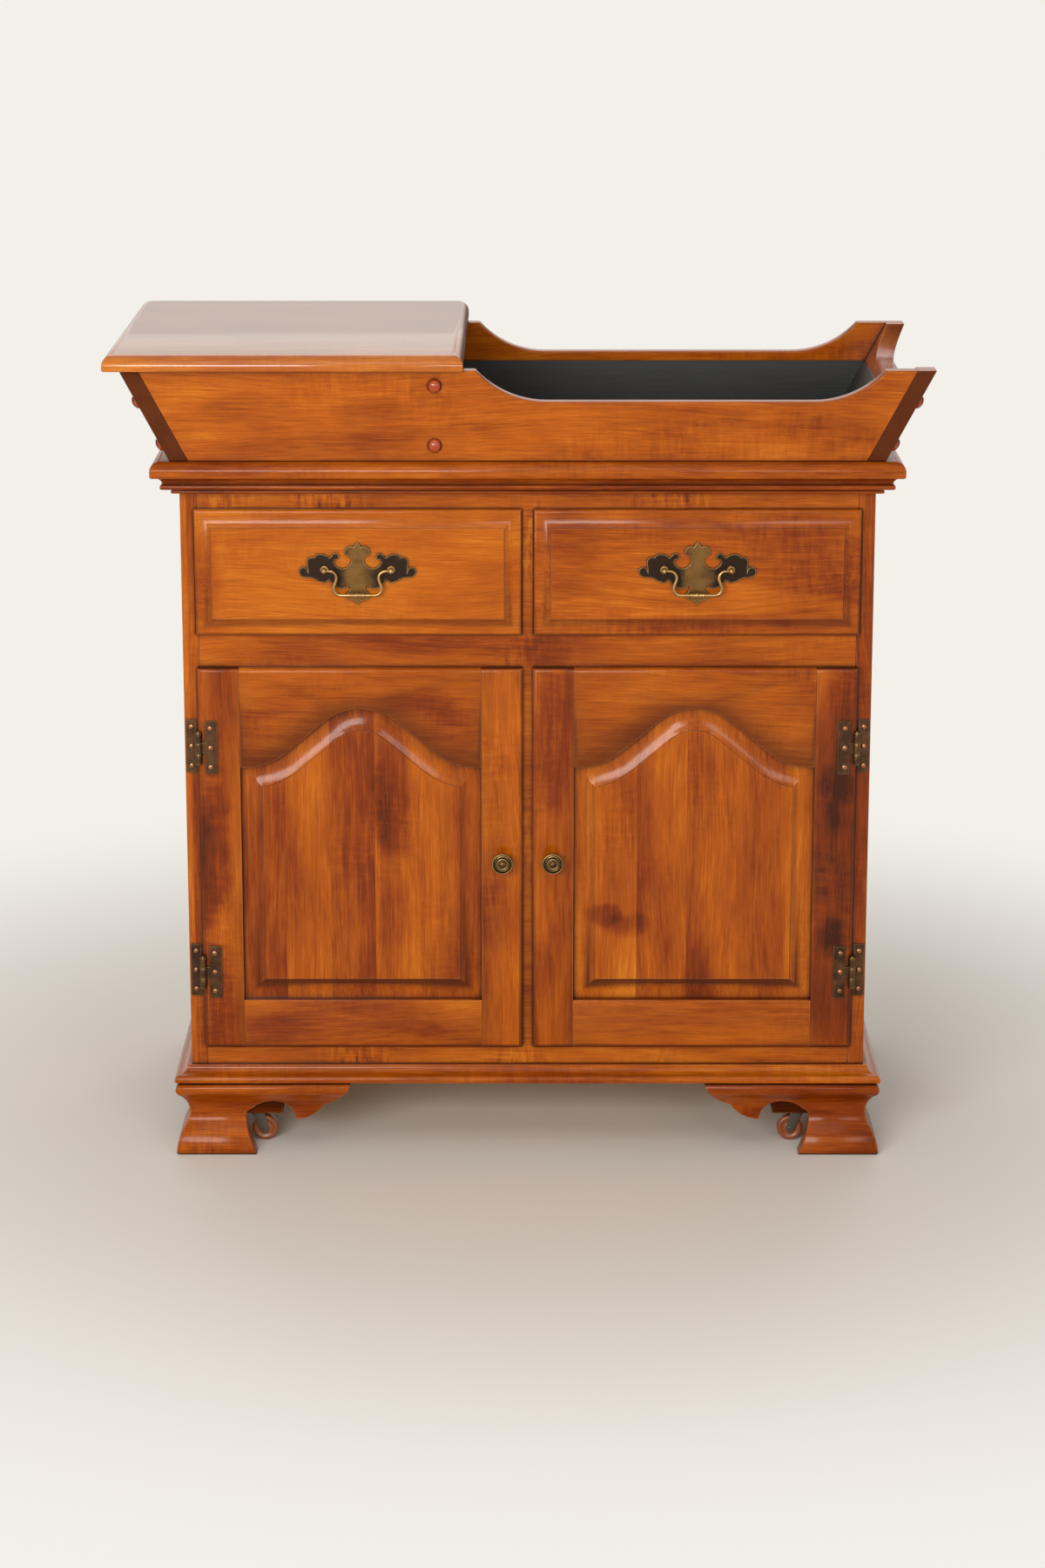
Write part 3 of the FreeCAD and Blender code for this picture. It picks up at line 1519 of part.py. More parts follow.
def with_flats(path):
    """The same line with each bend filed as a row of short flats."""
    line = [path[0]]
    for before, step in zip(path[:-1], path[1:]):
        if len(step) == 2:
            line.append(step)
            continue
        start = FreeCAD.Vector(before[0], before[1], 0)
        end = FreeCAD.Vector(step[0], step[1], 0)
        arc = arc_geometry(start, end, step[2])[0]
        turn = arc.LastParameter - arc.FirstParameter
        count = math.ceil(math.degrees(turn) / FLAT_TURN)
        points = [arc.value(arc.FirstParameter + turn * i / count) for i in range(count + 1)]
        if step[2] < 0:
            points.reverse()
        line += [(point.x, point.y) for point in points[1:]]
    return line


def pull_plate():
    """The scrolled batwing plate, cut from sheet: the right half and its mirror image."""
    plate = new_body("plate")
    scale = cell("pull_boring") / DRAWN_BORING
    outline = [(scale * x, scale * y) for x, y in with_flats(PLATE_HALF)]
    half = prism(plate, "half", "XZ", plate_face, plate_front, outline)
    whole = plate.newObject("PartDesign::Mirrored", "whole")
    whole.Originals = [half]
    middle = next(f for f in plate.Origin.OriginFeatures if f.Role == "YZ_Plane")
    whole.MirrorPlane = (middle, [""])
    plate.Tip = whole
    move(plate, pull_x, 0, pull_z)
    return plate


def pull_post(name, x):
    """A turned post: round base, waisted stem and a chamfered head, bored across for the bail."""
    head = cell("post_head")
    edge = cell("head_chamfer")
    seat = cell("post_base_thick")
    middle = cell("post_reach") - head
    steps = [
        (0, cell("post_base")),
        (seat, cell("post_base")),
        (seat * 1.5, cell("post_radius")),
        (middle - head, cell("post_radius")),
        (middle - head + edge, head),
        (middle + head - edge, head),
        (middle + head, head - edge),
    ]
    turning = lathed(name + "_turning", x, plate_front, pull_z, steps)
    reach = head + OVERCUT
    bore = hole(name + "_bore", cell("bail_end_radius"), reach * 2, x - reach, post_y, pull_z, "X")
    return less(name, turning, bore)


posts = [pull_post("post_left", pull_x - post_x), pull_post("post_right", pull_x + post_x)]


BEND_STEPS = 5


def bend_points(across, up, radius, first, last):
    """Points round a bend, from one angle to another, for a wire drawn with short flats."""
    points = []
    for i in range(BEND_STEPS + 1):
        angle = first + (last - first) * (i / BEND_STEPS)
        points.append((across + radius * cosine(angle), up + radius * sine(angle)))
    return points


def bail():
    """The swinging handle: an eight-sided rod, bent in below the posts and out again to the grip."""
    wire = new_body("bail_wire")
    start = post_x - cell("post_head") - cell("bail_clear")
    bend = cell("bail_bend")
    slant = cell("bail_slant")
    shoulder_x = cell("bail_neck") + bend
    high_z = -bend * (sine(slant) + 1)
    low_z = -cell("bail_drop") - high_z
    grip_x = shoulder_x - bend * cosine(slant) * 2 + (high_z - low_z) * tangent(slant)
    right = [(start, size(0))]
    right += bend_points(shoulder_x, -bend, bend, size(90), slant + 180)
    right += bend_points(grip_x, bend - cell("bail_drop"), bend, slant, size(-90))
    left = [(-across, up) for across, up in reversed(right)]
    spine = draw(new_sketch(wire, "wire_path", "XZ", post_y), right + left, closed=False)
    round_off = cell("bail_radius")
    flat = round_off * tangent(size(22.5))
    profile = draw(new_sketch(wire, "wire_section", "YZ", start), [
        (post_y + round_off, flat),
        (post_y + flat, round_off),
        (post_y - flat, round_off),
        (post_y - round_off, flat),
        (post_y - round_off, -flat),
        (post_y - flat, -round_off),
        (post_y + flat, -round_off),
        (post_y + round_off, -flat),
    ])
    swept(wire, "wire", "AdditivePipe", spine, profile)
    move(wire, pull_x, 0, pull_z)
    pieces = [wire]
    pin_length = cell("post_head") * 2 + cell("bail_clear")
    for side, pin_x in (("left", pull_x - start - pin_length), ("right", pull_x + start)):
        pieces.append(rod("bail_pin_" + side, cell("bail_end_radius"), pin_length, pin_x, post_y,
                          pull_z, "X"))
    return joined("bail", pieces)


left_drawer = {
    "front": drawer_front(),
    "box": group("drawer_box", box_boards),
    "bottom": bottom_board,
    "pull_plate": pull_plate(),
    "pull_posts": group("posts", posts),
    "bail": bail(),
}
for name, piece in left_drawer.items():
    finish(piece, "drawer_left_" + name)
    finish(mirror(piece, "right_drawer_" + name), "drawer_right_" + name)


# ---------------------------------------------------------------- check and write

doc.recompute()
for thing in doc.Objects:
    if "Invalid" in thing.State or "Error" in thing.State:
        raise RuntimeError("%s failed to build" % thing.Name)
for piece in NODES:
    if piece.Shape.isNull() or not piece.Shape.isValid():
        raise RuntimeError("%s has no valid shape" % piece.Label)
for piece in NODES:
    piece.Shape.exportStep("parts/%s.step" % piece.Label)
print("wrote %d pieces" % len(NODES))
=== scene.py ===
import json
import math

import bmesh
import bpy
from mathutils import Matrix, Vector


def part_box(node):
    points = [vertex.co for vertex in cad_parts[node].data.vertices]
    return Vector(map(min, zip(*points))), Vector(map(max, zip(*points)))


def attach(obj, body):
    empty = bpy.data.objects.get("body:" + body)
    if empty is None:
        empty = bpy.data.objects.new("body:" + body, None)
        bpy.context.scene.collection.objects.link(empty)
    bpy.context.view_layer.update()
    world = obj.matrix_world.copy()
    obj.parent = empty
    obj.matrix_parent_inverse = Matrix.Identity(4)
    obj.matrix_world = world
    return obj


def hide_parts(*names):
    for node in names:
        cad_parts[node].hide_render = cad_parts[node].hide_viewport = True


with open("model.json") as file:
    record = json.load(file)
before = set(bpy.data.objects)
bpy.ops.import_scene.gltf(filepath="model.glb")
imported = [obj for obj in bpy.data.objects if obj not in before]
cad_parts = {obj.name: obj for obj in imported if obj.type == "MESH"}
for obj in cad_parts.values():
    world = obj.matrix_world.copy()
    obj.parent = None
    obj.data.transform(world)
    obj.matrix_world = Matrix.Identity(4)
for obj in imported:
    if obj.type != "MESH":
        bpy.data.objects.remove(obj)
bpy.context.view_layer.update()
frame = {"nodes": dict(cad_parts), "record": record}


# ---------------------------------------------------------------- side panels and face frame
# The case's sides and the frame of rails between them: solid maple, planed, stained honey brown
# and lacquered to a satin gloss. The frame's rails and short uprights are glued to the sides.

case_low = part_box("side_panel_left")[0]
case_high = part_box("side_panel_right")[1]
case_centre_x = (case_low.x + case_high.x) / 2
case_half = (case_high.x - case_low.x) / 2
case_front_y = case_low.y
record = frame["record"]
body_of = {node: body for body, nodes in record["behaviour"]["bodies"].items() for node in nodes}


def stain(red, green, blue):
    """A colour as a paint card shows it, 0 to 255, made linear for the shader."""
    parts = [value / 255 for value in (red, green, blue)]
    linear = [p / 12.92 if p <= 0.04045 else ((p + 0.055) / 1.055) ** 2.4 for p in parts]
    return (*linear, 1.0)


class Finish:
    """A material that is built up one node at a time."""

    def __init__(self, name):
        self.material = bpy.data.materials.new(name)
        self.material.use_nodes = True
        self.nodes = self.material.node_tree.nodes
        self.links = self.material.node_tree.links
        self.shader = self.nodes["Principled BSDF"]
        self.place = self.node("TexCoord", output="Object")

    def fill(self, socket, value):
        """Link a socket to another one, or set it to a plain value."""
        if isinstance(value, bpy.types.NodeSocket):
            self.links.new(value, socket)
        else:
            socket.default_value = value

    def give(self, values):
        """Fill sockets of the shader itself."""
        for socket, value in values.items():
            self.fill(self.shader.inputs[socket], value)

    def node(self, kind, values=(), output=0, **settings):
        """A new node with its inputs filled. Returns one of its outputs."""
        made = self.nodes.new("ShaderNode" + kind)
        for setting, value in settings.items():
            setattr(made, setting, value)
        for socket, value in dict(values).items():
            self.fill(made.inputs[socket], value)
        return made.outputs[output]

    def math(self, operation, *values):
        return self.node("Math", enumerate(values), operation=operation)

    def parts(self, vector):
        """The x, y and z of a vector."""
        made = self.nodes.new("ShaderNodeSeparateXYZ")
        self.fill(made.inputs[0], vector)
        return made.outputs

    def spread(self, value, low, high, start=0.0, end=1.0):
        """Map a value smoothly, low to start and high to end."""
        values = {"Value": value, "From Min": low, "From Max": high, "To Min": start, "To Max": end}
        return self.node("MapRange", values, interpolation_type="SMOOTHSTEP")

    def noise(self, place, scale, detail=2.0, roughness=0.5):
        """Noise that is stretched differently along each axis."""
        stretched = self.node("VectorMath", {0: place, 1: scale}, operation="MULTIPLY")
        values = {"Vector": stretched, "Scale": 1.0, "Detail": detail, "Roughness": roughness}
        return self.node("TexNoise", values)

    def sway(self, value, noise, weight):
        """Let a noise push a value up and down about where it stands."""
        return self.math("MULTIPLY_ADD", self.math("SUBTRACT", noise, 0.5), weight, value)

    def blend(self, amount, under, over, mode="MIX"):
        values = {"Factor": amount, 6: under, 7: over}
        return self.node("Mix", values, output=2, data_type="RGBA", blend_type=mode)

    def ramp(self, value, stops):
        """A colour for each level of a value, from a list of (level, colour)."""
        made = self.nodes.new("ShaderNodeValToRGB")
        elements = made.color_ramp.elements
        for place, colour in stops[1:-1]:
            elements.new(place).color = colour
        elements[0].position, elements[0].color = stops[0]
        elements[-1].position, elements[-1].color = stops[-1]
        self.fill(made.inputs[0], value)
        return made.outputs[0]

    def open_air(self, distance, samples):
        """How open a spot lies: 1 on a plain face and less in a corner."""
        return self.node("AmbientOcclusion", {"Distance": distance}, output="AO", samples=samples)

    def flatness(self, radius):
        """1 on a plain face and less beside an arris."""
        rounded = self.node("Bevel", {"Radius": radius}, samples=4)
        true_face = self.node("NewGeometry", output="True Normal")
        return self.node("VectorMath", {0: rounded, 1: true_face}, output="Value", operation="DOT_PRODUCT")

    def bump(self, strength, distance, height):
        values = {"Strength": strength, "Distance": distance, "Height": height}
        self.give({"Normal": self.node("Bump", values)})


HONEY = [
    (0.0, stain(224, 142, 46)),
    (0.3, stain(204, 116, 24)),
    (0.52, stain(176, 86, 8)),
    (0.76, stain(130, 50, 3)),
    (1.0, stain(62, 20, 1)),
]
END_GRAIN = stain(74, 36, 22)
# Colour of the painted shade on the slopes of coves.
SLOPE_SHADE_COLOUR = stain(70, 26, 6)
# Colours of the painted shade in crevices and in corners.
CREVICE_SHADE = stain(58, 22, 6)
CORNER_SHADE = stain(44, 15, 4)
RUBBED_ARRIS = stain(214, 148, 84)
AMBER_LACQUER = (1.0, 0.7, 0.42, 1.0)

# For each run of the grain, the axes that lie along it, across it and into the board.
AXES = {"X": (0, 2, 1), "Y": (1, 0, 2), "Z": (2, 0, 1)}

# How fast each mark in the wood changes along the grain, across it and into the board.
BENDS = (2.2, 7.0, 7.0)
STREAKS = (3.5, 150.0, 150.0)
THREADS = (22.0, 600.0, 600.0)
FIBRES = (34.0, 1500.0, 1500.0)
PORES = (120.0, 900.0, 900.0)
CLOUDS = (4.5, 14.0, 14.0)
SMUDGES = (8.0, 46.0, 46.0)
CURLS = (170.0, 38.0, 38.0)
CURLED_PLACES = (6.0, 9.0, 9.0)


def grain_axes(finish, spot, grain, returns):
    """Where a spot lies along the grain, across it and into the board."""
    along, across, deep = [spot[i] for i in AXES[grain]]
    if returns:
        # On a moulding's side lengths the grain turns the corner at the mitre.
        outward = finish.math("ABSOLUTE", finish.math("SUBTRACT", spot[0], case_centre_x))
        forward = finish.math("SUBTRACT", case_front_y, spot[1])
        side = finish.math("GREATER_THAN", finish.math("SUBTRACT", outward, case_half), forward)
        gap = finish.math("SUBTRACT", spot[1], spot[0])
        along = finish.math("MULTIPLY_ADD", side, gap, spot[0])
        deep = finish.math("SUBTRACT", spot[1], finish.math("MULTIPLY", side, gap))
    return along, across, deep


def patched(finish, depth, spot, thread, patches):
    """Stain that took more or less in ragged ovals: (x, z, half width, half height, strength)."""
    ragged = finish.node("TexNoise", {"Vector": finish.place, "Scale": 28.0, "Detail": 3.0})
    for x, z, half_wide, half_high, strength in patches:
        off_x = finish.math("DIVIDE", finish.math("SUBTRACT", spot[0], x), half_wide)
        off_z = finish.math("DIVIDE", finish.math("SUBTRACT", spot[2], z), half_high)
        far = finish.math("MULTIPLY_ADD", off_x, off_x, finish.math("MULTIPLY", off_z, off_z))
        far = finish.sway(finish.sway(far, ragged, 1.6), thread, 1.5)
        depth = finish.math("MULTIPLY_ADD", finish.spread(far, 1.5, 0.1), strength, depth)
    return depth


def painted_slope_shade(finish, colour, outlook, slope_shade):
    """Painted shade on the slopes of coves, most of it on the slopes that face down."""
    slope = finish.spread(finish.math("ABSOLUTE", outlook[1]), 0.999, 0.98)
    slope = finish.math("MULTIPLY", slope, finish.spread(outlook[2], 0.2, 0.05))
    downward = finish.spread(outlook[2], 0.02, -0.1, 0.2, 1.0)
    slope_shade_amount = finish.math("MULTIPLY", finish.math("MULTIPLY", slope, downward), slope_shade)
    return finish.blend(slope_shade_amount, colour, SLOPE_SHADE_COLOUR)


def shade_and_wear(finish, colour, smudge, end_grain):
    """Painted shade in the crevices and corners, and arrises rubbed pale by use."""
    # Painted shade: darker where ambient occlusion finds the wood less open, in crevices, corners and beside
    # other parts.
    open_air = finish.open_air(0.012, 6)
    colour = finish.blend(finish.spread(open_air, 0.9, 0.3, 0.0, 0.8), colour, CREVICE_SHADE)
    corner = finish.open_air(0.003, 4)
    colour = finish.blend(finish.spread(corner, 0.88, 0.5, 0.0, 0.8), colour, CORNER_SHADE)
    arris = finish.spread(finish.flatness(0.0022), 0.99, 0.8)
    worn = finish.math("MULTIPLY", arris, finish.spread(open_air, 0.75, 0.95))
    worn = finish.math("MULTIPLY", worn, finish.spread(smudge, 0.35, 0.65, 0.1, 0.45))
    worn = finish.math("MULTIPLY", worn, finish.math("SUBTRACT", 1.0, end_grain))
    return finish.blend(worn, colour, RUBBED_ARRIS)


def maple(name, grain, seed, tone=0.4, boards=0.0, patches=(), curl=0.1, mottle=1.15, returns=False,
          stops=HONEY, coat=0.55, coat_ior=1.36, slope_shade=0.0):
    """Stained maple. The grain runs along one axis, and boards is the width of a glued-up strip.

    Tone is how dark the stain took, from 0 to 1, and mottle how unevenly. Slope_shade is how much
    painted shade darkens the coves' slopes, most of all those that face down. Returns are a
    moulding's side lengths, mitred to its front.
    """
    finish = Finish(name)
    spot = finish.parts(finish.place)
    along, across, deep = grain_axes(finish, spot, grain, returns)
    shift = finish.math("ADD", along, seed * 1.37)
    depth = tone
    if boards:
        strip = finish.math("DIVIDE", finish.math("ADD", across, seed * 0.31), boards)
        number = finish.math("ADD", finish.math("FLOOR", strip), seed)
        board_tone = finish.node("TexWhiteNoise", {"W": number}, noise_dimensions="1D")
        shift = finish.math("MULTIPLY_ADD", board_tone, 5.0, shift)
        depth = finish.sway(depth, board_tone, 0.2)
    wood = finish.node("CombineXYZ", {0: shift, 1: across, 2: deep})
    bent = finish.math("MULTIPLY_ADD", finish.noise(wood, BENDS, 1.0), 0.05, across)
    lines = finish.node("CombineXYZ", {0: shift, 1: bent, 2: deep})
    thread = finish.noise(lines, THREADS, 3.0, 0.64)
    fibre = finish.noise(lines, FIBRES, 2.0, 0.6)
    cloud = finish.noise(wood, CLOUDS, 7.0, 0.6)
    smudge = finish.noise(wood, SMUDGES, 6.0, 0.68)

    depth = finish.sway(depth, cloud, 0.62 * mottle)
    depth = finish.sway(depth, smudge, 0.36 * mottle)
    depth = finish.sway(depth, finish.noise(lines, STREAKS, 5.0, 0.68), 0.3)
    depth = finish.sway(depth, thread, 0.42)
    wave = finish.math("SUBTRACT", finish.noise(lines, CURLS, 4.0, 0.6), 0.5)
    curled = finish.spread(finish.noise(wood, CURLED_PLACES, 1.0), 0.45, 0.7)
    depth = finish.math("MULTIPLY_ADD", finish.math("MULTIPLY", wave, curled), curl * 2.0, depth)
    if patches:
        depth = patched(finish, depth, spot, thread, patches)
    colour = finish.ramp(depth, stops)

    speck = finish.spread(finish.noise(lines, PORES, 1.0), 0.62, 0.8, 1.0, 0.84)
    fine = finish.math("MULTIPLY", finish.spread(fibre, 0.25, 0.75, 0.78, 1.14), speck)
    fine_grey = finish.node("CombineColor", {0: fine, 1: fine, 2: fine})
    colour = finish.blend(1.0, colour, fine_grey, "MULTIPLY")
    outlook = finish.parts(finish.node("TexCoord", output="Normal"))
    end_face = finish.math("ABSOLUTE", outlook[AXES[grain][0]])
    end_grain = finish.spread(end_face, 0.45, 0.85, 0.0, 0.0 if returns else 0.9)
    colour = finish.blend(end_grain, colour, END_GRAIN)
    # Painted shade on the slopes of coves, darkest where they face down.
    if slope_shade:
        colour = painted_slope_shade(finish, colour, outlook, slope_shade)
    colour = shade_and_wear(finish, colour, smudge, end_grain)

    dullness = finish.math("MULTIPLY_ADD", cloud, 0.14, finish.math("MULTIPLY_ADD", fibre, 0.06, 0.24))
    finish.give({
        "Base Color": colour,
        "Roughness": finish.math("MULTIPLY_ADD", end_grain, 0.4, dullness),
        "Coat Weight": finish.math("MULTIPLY_ADD", end_grain, -coat, coat),
        "Coat Roughness": 0.14,
        "Coat IOR": coat_ior,
        "IOR": 1.18,
        "Specular Tint": AMBER_LACQUER,
    })
    height = finish.math("MULTIPLY_ADD", thread, 0.5, finish.math("MULTIPLY", fibre, 0.5))
    finish.bump(0.25, 0.00008, height)
    return finish.material


WELD = 2e-6
NEARLY_FLAT = math.radians(0.6)
ONE_FACE = math.radians(0.2)


def joined_copy(node):
    """A copy of a board's frame mesh, with its loose triangles joined into faces."""
    shape = bmesh.new()
    shape.from_mesh(frame["nodes"][node].data)
    bmesh.ops.remove_doubles(shape, verts=shape.verts, dist=WELD)
    bmesh.ops.dissolve_limit(shape, angle_limit=NEARLY_FLAT, verts=shape.verts, edges=shape.edges)
    return shape


def set_down(name, shape):
    """Turn a finished bmesh into an object of the scene."""
    mesh = bpy.data.meshes.new(name)
    shape.to_mesh(mesh)
    shape.free()
    piece = bpy.data.objects.new(name, mesh)
    bpy.context.scene.collection.objects.link(piece)
    return piece


def ease(shape, name, round_off, sharp=28.0):
    """Round the sharp arrises of a board, as sanding does, and make it a piece.

    No rounding stands proud of the board's own box.
    """
    low = [min(vert.co[i] for vert in shape.verts) for i in range(3)]
    high = [max(vert.co[i] for vert in shape.verts) for i in range(3)]
    for face in shape.faces:
        angles = [edge.calc_face_angle(0.0) for edge in face.edges]
        face.smooth = any(ONE_FACE < angle < math.radians(sharp) for angle in angles)
    arrises = [edge for edge in shape.edges if edge.calc_face_angle(0.0) > math.radians(sharp)]
    made = bmesh.ops.bevel(shape, geom=arrises, offset=round_off, offset_type="OFFSET", segments=2,
                           profile=0.5, affect="EDGES", material=-1, clamp_overlap=False)
    for face in made["faces"]:
        face.smooth = True
    for vert in shape.verts:
        vert.co = [min(max(place, a), b) for place, a, b in zip(vert.co, low, high)]
    return set_down(name, shape)


def eased_copy(node, name, round_off, sharp=28.0):
    return ease(joined_copy(node), name, round_off, sharp)


def hand_over(piece, material, node):
    """Give a finished piece its material and let it stand for its frame node."""
    piece.data.materials.clear()
    piece.data.materials.append(material)
    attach(piece, body_of[node])
    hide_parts(node)


def board(node, material, round_off=0.0006):
    hand_over(eased_copy(node, node + "_board", round_off), material, node)


board("side_panel_left", maple("side_left_maple", "Z", 2.0, tone=0.66, boards=0.08, curl=0.16))
board("side_panel_right", maple("side_right_maple", "Z", 5.0, tone=0.68, boards=0.08, curl=0.16))
rail_patches = [(-0.22, 0.607, 0.12, 0.016, 0.08), (0.03, 0.605, 0.03, 0.02, 0.1)]
board("face_frame", maple("frame_maple", "X", 8.0, tone=0.57, curl=0.9, patches=rail_patches), 0.0004)


# ---------------------------------------------------------------- inner boards
# The bottom, shelf, drawer deck, back and drawer guides: plain secondary wood, unstained and only
# sealed. They are let into grooves or glued in place and hardly show.

RAW = [
    (0.0, stain(226, 190, 142)),
    (0.4, stain(206, 164, 112)),
    (0.7, stain(182, 136, 86)),
    (1.0, stain(136, 92, 52)),
]
raw_wood = maple("raw_boards", "X", 31.0, tone=0.4, boards=0.09, curl=0.05, stops=RAW, coat=0.0)
for node in ("case_back", "case_bottom", "cupboard_shelf", "drawer_deck", "drawer_guides"):
    board(node, raw_wood, 0.0005)


# ---------------------------------------------------------------- corner blocks
# Short glue blocks under the case, one behind each foot, that carry the casters. They are near
# black, darker than the feet: painted shade, so that they don't show between the scrolls.

board("corner_blocks", maple("block_shade_maple", "X", 33.0, tone=0.95, curl=0.0, coat=0.0), 0.0005)


# ---------------------------------------------------------------- mouldings, base and feet
# The base frame with its moulded edge, the cornice under the waist board and the scrolled bracket
# feet: maple run to profile, mitred at the corners, glued and stained with the case.

board("base_frame", maple("base_maple", "X", 12.0, tone=0.58, curl=0.2, returns=True), 0.0003)
board("cornice_moulding", maple("cornice_maple", "X", 15.0, tone=0.7, returns=True), 0.00015)
feet_maple = maple("feet_maple", "X", 18.0, tone=0.66, curl=0.3, coat=0.35, returns=True,
                   patches=[(0.36, 0.04, 0.12, 0.06, 0.12)])
for node in ("feet_front_faces", "feet_side_returns", "feet_rear_sides", "feet_rear_braces"):
    board(node, feet_maple, 0.0005)


# ---------------------------------------------------------------- waist board and well
# A moulded board over the cornice carries the well, a trough of four splayed boards screwed at
# the corners, with a divider under the lid's end. The end boards show dark end grain in front.

board("waist_board", maple("waist_maple", "X", 21.0, tone=0.56, curl=0.2, returns=True), 0.0005)
well_patches = [(-0.15, 0.865, 0.05, 0.04, 0.1), (0.33, 0.86, 0.08, 0.02, 0.12)]
board("well_front_board", maple("well_front_maple", "X", 24.0, tone=0.55, curl=0.2, patches=well_patches))
board("well_back_board", maple("well_back_maple", "X", 26.0, tone=0.52, curl=0.2))
well_end_maple = maple("well_end_maple", "Y", 28.0, tone=0.6, curl=0.2)
for node in ("well_end_left", "well_end_right", "well_divider"):
    board(node, well_end_maple)


# ---------------------------------------------------------------- well liner
# Thin sheets that line the open part of the well: a floor and four walls, painted matt black
# and a little dusty.

liner = Finish("liner_black")
brushing = liner.noise(liner.place, (18.0, 260.0, 260.0), 3.0, 0.6)
dust = liner.noise(liner.place, (9.0, 9.0, 14.0), 4.0, 0.6)
liner_paint = liner.blend(liner.spread(brushing, 0.3, 0.75), stain(15, 15, 14), stain(30, 30, 28))
liner.give({
    "Base Color": liner.blend(liner.spread(dust, 0.45, 0.75, 0.0, 0.4), liner_paint, stain(44, 44, 41)),
    "Roughness": liner.spread(dust, 0.3, 0.7, 0.42, 0.6),
})
liner.bump(0.3, 0.0002, brushing)
board("well_liner", liner.material, 0.0002)


# ---------------------------------------------------------------- lid
# The lid over the left third of the well: a wide glued-up maple board with a thumb moulding on
# three edges. Its top is bleached and rubbed by use, so it looks paler than the rest.

lid_maple = maple("lid_maple", "X", 34.0, tone=0.4, boards=0.11, curl=0.1, coat=1.0, coat_ior=1.46)
board("lid", lid_maple, 0.0004)


# ---------------------------------------------------------------- doors
# Two lipped doors: stiles and rails with an arched head, grooved for a raised panel whose border
# is coved down to the groove. The panels are glued up from strips that took the stain unevenly.

door_woods = {
    "left": {
        "stiles": maple("door_left_stile_maple", "Z", 41.0, tone=0.57, slope_shade=0.7, curl=0.2, patches=[
            (-0.358, 0.36, 0.028, 0.08, 0.36), (-0.35, 0.5, 0.03, 0.12, 0.1), (-0.36, 0.2, 0.03, 0.07, 0.12),
            (-0.03, 0.3, 0.03, 0.05, 0.12), (-0.05, 0.45, 0.04, 0.15, 0.06)]),
        "rails": maple("door_left_rail_maple", "X", 43.0, tone=0.58, slope_shade=0.7, curl=0.2, patches=[
            (-0.12, 0.545, 0.045, 0.018, 0.07), (-0.08, 0.51, 0.03, 0.03, 0.07),
            (-0.3, 0.54, 0.05, 0.012, 0.06), (-0.2, 0.16, 0.12, 0.04, 0.16)]),
        "panel": maple("door_left_panel_maple", "Z", 46.0, tone=0.64, slope_shade=0.85, boards=0.052,
                       curl=0.12, patches=[
            (-0.146, 0.44, 0.022, 0.085, 0.22), (-0.146, 0.3, 0.02, 0.05, 0.08),
            (-0.05, 0.3, 0.04, 0.3, 0.12), (-0.28, 0.3, 0.03, 0.2, 0.08)]),
    },
    "right": {
        "stiles": maple("door_right_stile_maple", "Z", 52.0, tone=0.6, slope_shade=0.7, curl=0.2, patches=[
            (0.045, 0.5, 0.03, 0.1, 0.16), (0.372, 0.36, 0.035, 0.13, 0.26),
            (0.375, 0.5, 0.04, 0.1, 0.18), (0.372, 0.2, 0.035, 0.09, 0.22)]),
        "rails": maple("door_right_rail_maple", "X", 54.0, tone=0.56, slope_shade=0.7, curl=0.24),
        "panel": maple("door_right_panel_maple", "Z", 57.0, tone=0.56, slope_shade=0.85, boards=0.058,
                       curl=0.12, patches=[
            (0.1, 0.292, 0.024, 0.014, 0.2), (0.125, 0.28, 0.026, 0.016, 0.22),
            (0.12, 0.4, 0.04, 0.12, 0.08), (0.21, 0.2, 0.02, 0.06, 0.14), (0.28, 0.3, 0.03, 0.14, 0.09)]),
    },
}
SAME_LEVEL = 1e-5


def deepen_cove(shape, field, flat, foot, bow, power, step):
    """Scrape the border of a raised field to a fuller cove that ends in a low step at the field.

    Flat and foot are how far the border's outer flat and the foot of its old step lie behind the
    field. Bow is how much the border is hollowed already, and step is the height left upright.
    """
    drop = flat - foot - bow
    deepest = field + flat + min(drop, 0.0) ** 2 / (4 * bow)
    across = shape.verts.layers.float.new("across")
    for vert in shape.verts:
        height = field + flat - vert.co.y
        if field + SAME_LEVEL < vert.co.y < deepest + SAME_LEVEL and abs(height) > SAME_LEVEL:
            root = math.sqrt(max(drop * drop + 4 * bow * height, 0.0))
            vert[across] = min((root - drop) / (2 * bow), 1.0)
        elif vert.co.y <= field + SAME_LEVEL:
            vert[across] = 1.0
    # The edges that climb from row to row, not those along a row or straight up to the field.
    slopes = [edge for edge in shape.edges
              if 0.02 < abs(edge.verts[0][across] - edge.verts[1][across]) < 0.6]
    bmesh.ops.subdivide_edges(shape, edges=slopes, cuts=2, use_grid_fill=True)
    for vert in shape.verts:
        if vert[across] > 0.0 and vert.co.y > field + SAME_LEVEL:
            vert.co.y = field + flat - (flat - step) * vert[across] ** power


panel_flat = 0.0059
panel_foot = 0.0015
panel_bow = 0.0072
for side, woods in door_woods.items():
    for part in ("stiles", "rails"):
        board("door_%s_%s" % (side, part), woods[part], 0.0005)
    panel_node = "door_%s_panel" % side
    panel_field_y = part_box(panel_node)[0].y
    panel = joined_copy(panel_node)
    deepen_cove(panel, panel_field_y, panel_flat, panel_foot, panel_bow, power=1.95, step=0.0007)
    hand_over(ease(panel, panel_node + "_board", 0.0003), woods["panel"], panel_node)


# ---------------------------------------------------------------- drawers
# Two lipped drawers. Each front is one wide maple board with a raised field and coved border; the
# box behind it is plain secondary wood with a thin bottom.

